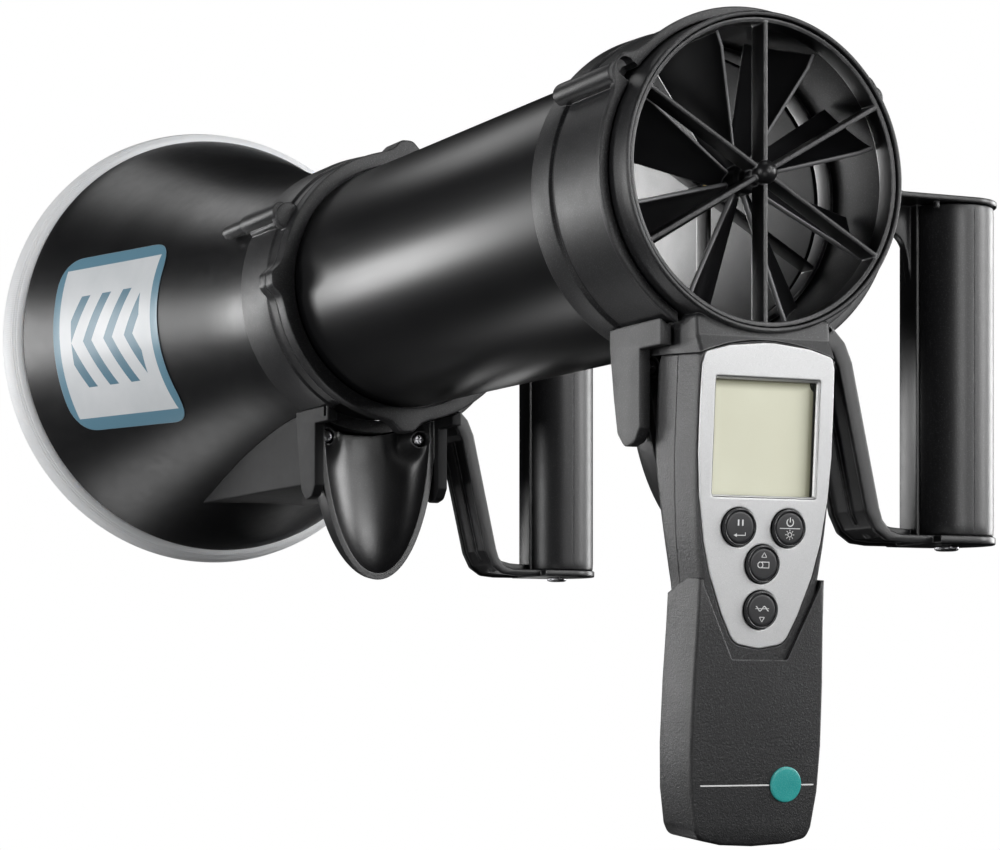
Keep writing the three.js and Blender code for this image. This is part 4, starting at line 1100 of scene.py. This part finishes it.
def panel(base, edge_w, centre_w, Rx, Rw, sign, s_end=154.6, inset_x=0.0):
    """half of the handset body: rounded face at depth centre_w(s), straight walls back to base.
    sign -1 faces forwards, +1 backwards"""
    ts = [0, .015, .04, .08, .13, .2, .3, .42, .55, .7, .85, 1]
    fr = [-(1 - t) for t in ts] + [1 - t for t in reversed(ts[:-1])]
    cols = [-1 + 0 for _ in ()]
    # columns: distance from the side edge, in mm, then spread over the middle
    dist = [0, .12, .35, .7, 1.15, 1.7, 2.5, 3.6, 5.0, 6.8]
    rows_d = [0, .12, .35, .7, 1.15, 1.7, 2.5, 3.6, 5.0, 6.8]
    S = [-1] * 0
    s_vals = []
    L = s_end + 4.6
    for d in rows_d:
        s_vals.append(d)
    k = 34
    for i in range(1, k):
        s_vals.append(6.8 + (L - 13.6) * i / k)
    for d in reversed(rows_d):
        s_vals.append(L - d)
    g = G()
    grid = []
    for sv in s_vals:
        v = sv / L
        sn = sv - 4.6
        X = interp(BODYS, max(sn, 3.4)) - inset_x
        xs = [-(X - d) for d in dist] + [-(X - 6.8) + 2 * (X - 6.8) * i / 12 for i in range(1, 12)] + [X - d for d in reversed(dist)]
        row = []
        for x in xs:
            lift = 5.1 * (x / 25.5) ** 2 * max(0.0, 1 - sv / 40.0)
            s = sn + lift
            dx = X - abs(x)
            ds = min(sv, L - sv)
            fx = 1.0 if dx >= Rx else math.sqrt(max(0, 1 - (1 - dx / Rx) ** 2))
            fs_ = 1.0 if ds >= Rx else math.sqrt(max(0, 1 - (1 - ds / Rx) ** 2))
            f = fx * fs_ if fx < 1 and fs_ < 1 else min(fx, fs_)
            w = centre_w(s) - sign * Rw * (1 - f)
            row.append((x, w, s))
        grid.append(row)
    nr, nc = len(grid), len(grid[0])
    for r in grid:
        g.v += r
    for i in range(nr - 1):
        for j in range(nc - 1):
            g.f.append([i * nc + j, i * nc + j + 1, (i + 1) * nc + j + 1, (i + 1) * nc + j]); g.m.append(0)
    border = [j for j in range(nc)] + [i * nc + nc - 1 for i in range(1, nr)] + [(nr - 1) * nc + j for j in range(nc - 2, -1, -1)] + [i * nc for i in range(nr - 2, 0, -1)]
    b0 = len(g.v)
    for i in border:
        x, w, s = g.v[i]
        g.v.append((x, base, s))
    m = len(border)
    for i in range(m):
        j = (i + 1) % m
        g.f.append([border[i], border[j], b0 + j, b0 + i]); g.m.append(0)
    tri = tessellate_polygon([[Vector((g.v[b0 + i][0], g.v[b0 + i][2], 0)) for i in range(m)]])
    for t in tri:
        g.f.append([b0 + t[0], b0 + t[1], b0 + t[2]]); g.m.append(0)
    return g


PLATE = [(-24.0, 0.2), (-15.1, 2.6), (-2.0, 3.9), (2, 3.9), (15.1, 2.6), (24.0, 0.2), (25.0, -3.6), (25.2, -16), (25.2, -32), (24.4, -46), (22.2, -61), (19.4, -72), (14.6, -84.5), (10.6, -92.4), (8.4, -94.4), (0, -95.9), (-8.4, -94.4), (-10.6, -92.4), (-14.6, -84.5), (-19.4, -72), (-22.2, -61), (-24.4, -46), (-25.2, -32), (-25.2, -16), (-25.0, -3.6)]
PL = [(x, z) for x, z in PLATE]
PLR = rnd([p + ({"r": 2.2 if abs(p[0]) > 23 and p[1] > -6 else 8.0},) for p in PL], 4, 5)
hmap = lambda x, y, z: H(x, y, -z)
BTN = [("hold_button", -9.4, 56.2), ("power_button", 9.4, 56.2), ("volume_button", 0.0, 68.1), ("mean_button", 0.0, 83.1)]


def rect(hw, s0, s1, r=0.0, n=5):
    pts = [(-hw, -s1), (hw, -s1), (hw, -s0), (-hw, -s0)]
    return rnd(pts, r, n) if r else pts


def hole(x, s, r, w0, w1, seg=56):
    return rod((x, -s), r, w0, w1, seg, e0=.02, e1=.02).to(hmap)


front = panel(14.0, 0, lambda s: 0.0, 1.0, 2.7, -1).to(lambda x, w, s: H(x, w, s))
inner = panel(15.5, 0, lambda s: 0.0, 1.0, 1.0, -1).to(lambda x, w, s: H(x * 0.905, 2.75 + w, 2.4 + (s + 4.6) * 0.966 - 4.6))
cuts = [inner, plate([inset(PLR, -0.3) if area2(PLR) > 0 else inset(PLR, 0.3)], -1.5, 1.25, .02, 1).to(hmap), plate([rect(20.0, 7.2, 46.6)], -2, 4, .02, 1).to(hmap)]
cuts += [hole(x, s, 6.5, -2, 4) for _, x, s in BTN]
fm = boolean(mesh_of(front), cuts)
bosses = G()
for x in (-20.9, 20.9):
    bosses.join(revolve([(1.6, 2.8), (2.7, 2.8), (2.7, 13.8), (1.6, 13.8)], 32, at=(x, -8.5)).to(hmap))
emit("handset_front", fm, "instrument", M["hand"], ["handset_front_shell"], plus=bosses, ang=36)

rear = panel(14.35, 0, lambda s: interp(DEPTHS, s), 6.5, 6.5, 1).to(lambda x, w, s: H(x, w, s))
rin = panel(13.5, 0, lambda s: interp(DEPTHS, s) - 2.3, 5.0, 5.0, 1).to(lambda x, w, s: H(x * 0.905, w, 2.4 + (s + 4.6) * 0.966 - 4.6))
cuts = [rin, plate([rect(17.4, 97, 170)], 20.2, 40, .02, 1).to(hmap)]
cuts += [hole(x, 8.5, 2.35, 26, 34, 32) for x in (-20.9, 20.9)]
rm = boolean(mesh_of(rear), cuts)
bosses = G()
for x in (-20.9, 20.9):
    bosses.join(revolve([(1.6, 14.5), (2.9, 14.5), (2.9, 28.8), (2.5, 29.4), (1.6, 28.6)], 32, at=(x, -8.5)).to(hmap))
emit("handset_rear", rm, "instrument", M["hand"], ["handset_rear_shell"], plus=bosses, ang=36)
for tag, x in (("left", -20.9), ("right", 20.9)):
    screw(f"shell_pan_screw_{tag}", "instrument", f"shell_screw_{tag}", (x, -8.5), 2.0, 31.0, 29.2, 1.2, 8.0, fn=hmap, slotw=.55)

# lower sleeve
so = [(23.9, 73), (24.2, 90), (24.8, 107), (25.0, 128), (24.3, 143), (22.4, 155), (20.6, 158.6), (12, 160.4), (0, 161.0)]
sl = [(-x, -s) for x, s in so] + [(x, -s) for x, s in reversed(so[:-1])]
sl = rnd([p + ({"r": 0 if p[1] > -74 else 5},) for p in sl], 4, 5)
si = [(23.1, 60), (23.1, 72), (22.1, 83), (21.9, 128), (21.3, 146), (20.2, 155.2)]
sil = [(-x, -s) for x, s in si] + [(x, -s) for x, s in reversed(si)]
sleeve = plate([sl], -1.5, 19.8, 1.15, 4, bev2=1.6).to(hmap)
scut = plate([sil], -0.35, 25, .05, 1).to(hmap)
vee = plate([rnd([(-26.0, -56), (-22.0, -75.5), (-10.5, -99.4, {"r": 1.2}), (10.5, -99.4, {"r": 1.2}), (22.0, -75.5), (26.0, -56)], 0)], -3, 0, .02, 1).to(hmap)
slope = plate([[(-3, -72), (4, -72), (22, -80), (30, -60), (-3, -60)]], -30, 30, .02, 1, "yz").to(hmap)
sm = boolean(mesh_of(sleeve), [scut, vee, slope])
emit("grip_sleeve", sm, "instrument", M["sleeve"], ["lower_sleeve"], ang=34)

# faceplate with a sloped bezel round the display
op = rect(19.9, 7.4, 46.5, 1.0)
holes_ = [[(x + 6.5 * math.cos(rad(a)), -s + 6.5 * math.sin(rad(a))) for a in range(0, 360, 6)] for _, x, s in BTN]
fp = plate([PLR, op] + holes_, -0.3, 0.9, .38, 3).to(hmap)
bez = G()
oa = rect(19.75, 7.55, 46.3, 0.9, 4)
ob = rect(19.1, 8.3, 45.7, 0.5, 4)
oc_ = rect(19.1, 8.3, 45.7, 0.5, 4)
rows = [([(x, -.02, z) for x, z in oa]), ([(x * .999, .12, z) for x, z in oa]), ([(x, 1.12, z) for x, z in ob]), ([(x, 1.3, z) for x, z in oc_]), ([(x, 1.3, z) for x, z in oa])]
m = len(oa)
for r in rows:
    bez.v += r
for k in range(len(rows)):
    for i in range(m):
        j = (i + 1) % m
        bez.f.append([k * m + i, k * m + j, ((k + 1) % len(rows)) * m + j, ((k + 1) % len(rows)) * m + i]); bez.m.append(0)
bez.to(hmap)
emit("silver_faceplate", fp, "instrument", M["silver"], ["faceplate"], plus=bez, ang=11)

# display: window, liquid-crystal glass and its dark gasket
emit("display_pane", plate([rect(19.6, 7.7, 46.0, .8)], 1.4, 2.3, .12, 2).to(hmap), "instrument", M["glass"], ["display_window"], ang=8)
mod = plate([rnd([(-17.8, -5.2), (-17.8, -7.4), (-21, -7.4), (-21, -47.4), (21, -47.4), (21, -7.4), (17.8, -7.4), (17.8, -5.2)], .3)], 3.1, 8.2, .2, 2).to(hmap)
for i in range(len(mod.m)):
    mod.m[i] = 0
gas = plate([rect(20.6, 7.0, 46.9, .6), rect(19.2, 8.3, 45.8, .5)], 2.45, 3.0, .1, 1).to(hmap)
gas.m = [1] * len(gas.m)
gas.to(same)
cm = mesh_of(mod)
cm = boolean(cm, [rod((x, -8.5), 3.1, 2, 9, 32).to(hmap) for x in (-20.9, 20.9)])
emit("liquid_crystal", cm, "instrument", [M["lcd"], M["snap"]], ["display_module"], ang=8, plus=gas)


# buttons with printed pictograms
def ring_icon(cx, cz, r, w, a0=0, a1=360, n=40, w0=-1.62, w1=-1.58):
    g = G()
    full = abs(a1 - a0) >= 360
    k = n if full else n + 1
    for i in range(k):
        a = rad(a0 + (a1 - a0) * i / n)
        for rr in (r - w / 2, r + w / 2):
            for t in (w0, w1):
                g.v.append((cx + rr * math.cos(a), t, cz + rr * math.sin(a)))
    for i in range(n):
        a, b = i * 4, ((i + 1) % k) * 4
        g.f += [[a, b, b + 2, a + 2], [a + 1, a + 3, b + 3, b + 1], [a, a + 1, b + 1, b], [a + 2, b + 2, b + 3, a + 3]]
        g.m += [0] * 4
    if not full:
        e = n * 4
        g.f += [[0, 2, 3, 1], [e, e + 1, e + 3, e + 2]]
        g.m += [0, 0]
    return g


def bar(x0, z0, x1, z1, w, w0=-1.62, w1=-1.58):
    d = Vector((x1 - x0, z1 - z0)).normalized()
    n = Vector((-d.y, d.x)) * w / 2
    pts = [(x0 - n.x, z0 - n.y), (x1 - n.x, z1 - n.y), (x1 + n.x, z1 + n.y), (x0 + n.x, z0 + n.y)]
    return plate([pts], w0, w1, 0.005, 1)


for name, bx, bs_ in BTN:
    z0 = -bs_
    kk = 6.2 / 5.95
    # outer ring, groove and slightly domed face
    rimp = [(5.05, -0.9), (5.12, -1.45), (5.35, -1.68), (5.6, -1.72), (5.82, -1.6), (5.95, -1.25), (5.95, 2.2), (5.85, 2.3), (5.0, 2.3)]
    face = [(0.0001, -1.55)] + [(4.75 * i / 8, -1.55 + 0.10 * (i / 8) ** 2) for i in range(1, 9)] + [(4.9, -1.36), (4.98, -1.15), (5.0, -0.8), (5.0, 2.3), (0.0001, 2.3)]
    rimp, face = [(r_ * kk, t_) for r_, t_ in rimp], [(r_ * kk if r_ > .01 else r_, t_) for r_, t_ in face]
    g = revolve(rimp, 96, at=(bx, z0))
    g.m = [1] * len(g.m)
    f = revolve(face, 96, False, at=(bx, z0))
    g.join(f)
    ic = G()
    A, Bw = -1.63, -1.56
    if name == "hold_button":      # two bars over an enter arrow
        ic.join(bar(bx - .8, z0 + .5, bx - .8, z0 + 2.5, .55), bar(bx + .8, z0 + .5, bx + .8, z0 + 2.5, .55))
        ic.join(bar(bx - 1.6, z0 - 2.6, bx + 1.9, z0 - 2.6, .26), bar(bx + 1.9, z0 - 2.72, bx + 1.9, z0 - 1.6, .26))
        ic.join(plate([[(bx - 2.5, z0 - 2.6), (bx - 1.3, z0 - 3.2), (bx - 1.3, z0 - 2.0)]], A, Bw, .005, 1))
    elif name == "power_button":   # stroke and circle over a sun
        ic.join(bar(bx - 3.9, z0, bx + 3.9, z0, .26))
        ic.join(ring_icon(bx, z0 + 2.0, 1.25, .36, 125, 415), bar(bx, z0 + 2.0, bx, z0 + 3.6, .36))
        ic.join(ring_icon(bx, z0 - 2.05, .72, .26))
        for a in range(0, 360, 45):
            c, s = math.cos(rad(a)), math.sin(rad(a))
            ic.join(bar(bx + 1.12 * c, z0 - 2.05 + 1.12 * s, bx + 1.72 * c, z0 - 2.05 + 1.72 * s, .24))
    elif name == "volume_button":  # triangle up over a duct outline
        for p, q in (((-.95, 2.3), (.95, 2.3)), ((-.95, 2.3), (0, 3.9)), ((.95, 2.3), (0, 3.9))):
            ic.join(bar(bx + p[0], z0 + p[1], bx + q[0], z0 + q[1], .22))
        ic.join(ring_icon(bx - 1.35, z0 - .2, .95, .28), bar(bx - 1.35, z0 + .75, bx + 1.9, z0 + .75, .28), bar(bx - 1.35, z0 - 1.15, bx + 1.9, z0 - 1.15, .28), bar(bx + 1.9, z0 + .88, bx + 1.9, z0 - 1.28, .28))
    else:                          # a level line through a wave over a triangle down
        for i in range(12):
            a, b = -2.4 + .4 * i, -2.4 + .4 * (i + 1)
            ic.join(bar(bx + a - .02, z0 + .5 + .8 * math.sin(a * 1.95), bx + b + .02, z0 + .5 + .8 * math.sin(b * 1.95), .28))
        ic.join(bar(bx - 2.6, z0 + .5, bx + 2.6, z0 + .5, .22))
        for p, q in (((-.95, -2.3), (.95, -2.3)), ((-.95, -2.3), (0, -3.9)), ((.95, -2.3), (0, -3.9))):
            ic.join(bar(bx + p[0], z0 + p[1], bx + q[0], z0 + q[1], .22))
    ic.m = [2] * len(ic.m)
    g.join(ic)
    g.to(hmap)
    emit(name + "_cap", g, name, [M["button"], M["buttonrim"], M["white"]], [name], ang=40)

# badge: plain disc with a polished rim; thin white rule either side of it
g = revolve([(0.0001, -2.3)] + [(5.4 * i / 8, -2.3 + .12 * (i / 8) ** 2) for i in range(1, 9)] + [(5.7, -2.1), (5.9, -1.9), (5.9, -1.52), (0.0001, -1.52)], 96, False, at=(11.5, -140.5))
emit("plain_badge", g.to(hmap), "instrument", M["badge"], ["badge"], ang=40)
g = G().join(rbox(-20.8, 5.3, -1.54, -1.49, -140.95, -140.45, .01, 1), rbox(17.7, 22.4, -1.54, -1.49, -140.95, -140.45, .01, 1)).to(hmap)
emit("badge_rule", g, "instrument", M["white"], ang=40)

# battery cover: arched plate with grip ridges and an arrow
g = plate([rnd([(-17.1, -158.2), (17.1, -158.2), (17.1, -97.4), (-17.1, -97.4)], 2.0, 5)], 20.9, 23.35, .6, 3)
for i in range(7):
    w_ = 9.5 - abs(i - 3) * .7
    g.join(plate([rnd([(-w_, -107.0 - i * 1.9), (w_, -107.0 - i * 1.9), (w_, -106.1 - i * 1.9), (-w_, -106.1 - i * 1.9)], .4)], 23.0, 23.75, .3, 2))
g.join(plate([rnd([(0, -127.5), (3.6, -123.2), (-3.6, -123.2)], .4)], 23.0, 23.65, .2, 2))
emit("battery_door", g.to(hmap), "battery_cover", M["sleeve"], ["battery_cover"], ang=36)

# ---------------------------------------------------------------- carried-over CAD nodes
KEEP = {
    "honeycomb_insert": "honey", "front_bearing": "brass", "rear_bearing": "brass", "vane_axle": "steel", "speed_pickup": "snap",
    "circuit_board": "board", "keypad_mat": "keypad", "battery_block": "battery", "battery_snap": "snap",
}
for node, key in KEEP.items():
    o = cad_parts[node]
    o.data.materials.clear()
    o.data.materials.append(M[key])
    if node in ("battery_block", "battery_snap", "circuit_board", "keypad_mat"):
        b = o.modifiers.new("edge", "BEVEL")
        b.width, b.segments, b.limit_method, b.angle_limit = (0.0011 if node == "battery_block" else 0.0003), 3, "ANGLE", rad(40)
        b.harden_normals = False
    elif node in ("vane_axle", "front_bearing", "rear_bearing", "speed_pickup"):
        b = o.modifiers.new("edge", "BEVEL")
        b.width, b.segments, b.limit_method, b.angle_limit = 0.0002, 2, "ANGLE", rad(50)


def repaint(name, mat, test):
    """puts a second material on part of a piece, here the neck's painted highlight; test gets the face centre in duct
    millimetres
    """
    me = bpy.data.objects[name].data
    me.materials.append(mat)
    k = len(me.materials) - 1
    for p in me.polygons:
        if test((p.center - OFF) * 1000):
            p.material_index = k


# painted highlight: the neck between the ring and the faceplate gets a lighter copy of the black plastic, standing in
# for the light that falls on it
M["neck"] = plastic("neck_black_painted_highlight", (0.030, 0.030, 0.031), (0.042, 0.042, 0.043), 0.42, grain=2100, gdist=0.00010, gstr=0.7, edge=0.0006, edge_highlight_amt=0.9, edge_highlight_col=(0.20, 0.20, 0.205), painted_glint=0.25)
repaint("vane_head_shell", M["neck"], lambda c: c.z < -50.5 and abs(c.x) < 27 and c.y < 6)
repaint("handset_front", M["neck"], lambda c: c.z > -60.5 + 5.1 * (c.x / 25.5) ** 2 * -1 + 3.6 * (1 - (c.x / 24) ** 2) and abs(c.x) < 25.5)

# ---------------------------------------------------------------- floor, light, camera
C0 = (CAD_LO + CAD_HI) / 2
FLOOR_Z = CAD_LO.z - 0.16


def floor_material():
    k = N("studio_floor")
    sep = k.n("SeparateXYZ")
    k.link(k.tc.outputs["Object"], sep.inputs[0])
    r = k.math("SQRT", k.math("ADD", k.math("MULTIPLY", sep.outputs[0], sep.outputs[0]), k.math("MULTIPLY", sep.outputs[1], sep.outputs[1])))
    f = k.ramp(r, 0.7, 2.4, 0.45, 1.0)
    fine = k.noise(9, 3)
    base = k.mix(k.ramp(fine, 0.3, 0.7), (0.80, 0.80, 0.80), (0.83, 0.83, 0.83))
    lp = k.n("LightPath")
    p = k.principled(k.mix(lp.outputs["Is Camera Ray"], (0.02, 0.02, 0.02), base), 0.75, 0.0)
    em = k.n("Emission")
    em.inputs["Color"].default_value = (1, 1, 1, 1)
    em.inputs["Strength"].default_value = 1.0
    # the far floor glows like the backdrop to the camera only
    mx = k.n("MixShader")
    k.link(k.math("MULTIPLY", f, lp.outputs["Is Camera Ray"]), mx.inputs[0])
    k.link(p.outputs[0], mx.inputs[1])
    k.link(em.outputs[0], mx.inputs[2])
    return k.done(mx)


def disc(name, r, z, mat, seg=96):
    g = G()
    rr = [r * i / 12 for i in range(13)]
    o_ = revolve([(max(x, 1e-5), 0.0) for x in rr], seg, False, axis="Z")
    me = bpy.data.meshes.new(name)
    me.from_pydata(o_.v, [], o_.f)
    ob = bpy.data.objects.new(name, me)
    me.materials.append(mat)
    ob.location = (C0.x, C0.y, z)
    SC.collection.objects.link(ob)
    # only the camera sees the floor, so light from below still reaches the object
    ob.visible_shadow = ob.visible_diffuse = ob.visible_glossy = ob.visible_transmission = False
    return ob


disc("studio_floor_disc", 14.0, FLOOR_Z, floor_material())

w = bpy.data.worlds.new("studio")
SC.world = w
w.use_nodes = True
nt = w.node_tree
nt.nodes.clear()
wo = nt.nodes.new("ShaderNodeOutputWorld")
lp = nt.nodes.new("ShaderNodeLightPath")
b1 = nt.nodes.new("ShaderNodeBackground")
b2 = nt.nodes.new("ShaderNodeBackground")
b1.inputs[0].default_value = (0.92, 0.95, 1.0, 1)
b1.inputs[1].default_value = 0.006
b2.inputs[0].default_value = (1, 1, 1, 1)
b2.inputs[1].default_value = 1.0
mx = nt.nodes.new("ShaderNodeMixShader")
nt.links.new(lp.outputs["Is Camera Ray"], mx.inputs[0])
nt.links.new(b1.outputs[0], mx.inputs[1])
nt.links.new(b2.outputs[0], mx.inputs[2])
nt.links.new(mx.outputs[0], wo.inputs[0])


def area(name, loc, target, size, size_y, power, color=(1, 1, 1), spread=180):
    l = bpy.data.lights.new(name, "AREA")
    l.shape = "RECTANGLE"
    l.size, l.size_y, l.energy, l.color = size, size_y, power, color
    l.spread = rad(spread)
    o = bpy.data.objects.new(name, l)
    o.location = loc
    d = Vector(target) - Vector(loc)
    o.rotation_mode = "QUATERNION"
    o.rotation_quaternion = d.to_track_quat("-Z", "Y")
    o.visible_camera = False
    SC.collection.objects.link(o)
    return o


def box_light(name, az, el, power, size=0.8, size_y=0.8, dist=2.2):
    """softbox by bearing (degrees from the front towards the right) and height angle"""
    a, e = rad(az), rad(el)
    d = Vector((math.sin(a) * math.cos(e), -math.cos(a) * math.cos(e), math.sin(e)))
    return area(name, tuple(C0 + d * dist), C0, size, size_y, power)


box_light("back_key", -153, 2, 7.5, 0.55, 0.45)
box_light("back_key_wide", -141, 4, 1.2, 0.5, 0.6)
box_light("back_side", -121, 6, 16, 0.5, 0.7)
box_light("back_high", -172, 38, 1.9, 0.6, 0.6)
box_light("back_low", -156, -44, 3.6, 0.7, 0.6)
box_light("back_right_low", 158, -14, 0.9, 0.5, 0.5)
box_light("front_key", 31, 8, 6.5, 0.6, 0.6)
box_light("front_key_high", 31, 30, 11, 0.6, 0.6)
box_light("front_right", 60, 12, 23, 0.7, 0.8)
box_light("front", 4, 8, 12, 0.5, 0.7)
box_light("right", 98, 6, 24, 0.7, 1.0)
box_light("left", -77, 4, 15, 0.5, 0.8)
box_light("left_low", -95, -25, 5, 0.7, 0.7)
box_light("camera_low", -32, -22, 4, 0.7, 0.7)
box_light("top", 0, 86, 7, 0.8, 0.8)
# daylight that comes through the honeycomb and down the tube
tl = area("down_the_tube", tuple(OFF + Vector((0, 0.2525, 0))), tuple(OFF + Vector((0, 0, 0))), 0.085, 0.085, 0.22)
tl.data.shape = "DISK"

cam = bpy.data.cameras.new("camera")
co = bpy.data.objects.new("camera", cam)
SC.collection.objects.link(co)
YAW = rad(23.19)
co.location = OFF + Vector((-0.4918, -0.7908, -0.1704))
co.rotation_mode = "QUATERNION"
co.rotation_quaternion = Vector((math.sin(YAW), math.cos(YAW), 0)).to_track_quat("-Z", "Y")
cam.sensor_width = 36.0
cam.lens = 36.0 * 2823.1 / 1000.0
cam.clip_start, cam.clip_end = 0.05, 50
# rising-front shift of the photographed view, only while the camera stands where the photo was taken
for prop, v in (("shift_x", 0.1635), ("shift_y", 0.269)):
    dv = cam.driver_add(prop).driver
    dv.type = "SCRIPTED"
    for i, ch in enumerate(("LOC_X", "LOC_Y", "LOC_Z")):
        var = dv.variables.new()
        var.name = "xyz"[i]
        var.type = "TRANSFORMS"
        var.targets[0].id = co
        var.targets[0].transform_type = ch
        var.targets[0].transform_space = "WORLD_SPACE"
    L_ = co.location
    dv.expression = f"{v} * (abs(x - {L_.x:.5f}) < 0.002) * (abs(y - {L_.y:.5f}) < 0.002) * (abs(z - {L_.z:.5f}) < 0.002)".replace("- -", "+ ")
SC.camera = co
SC.view_settings.view_transform = "Standard"
SC.view_settings.look = "None"
SC.cycles.max_bounces = 8
SC.cycles.diffuse_bounces = 3
SC.cycles.glossy_bounces = 4
SC.cycles.transparent_max_bounces = 8
SC.cycles.use_denoising = True
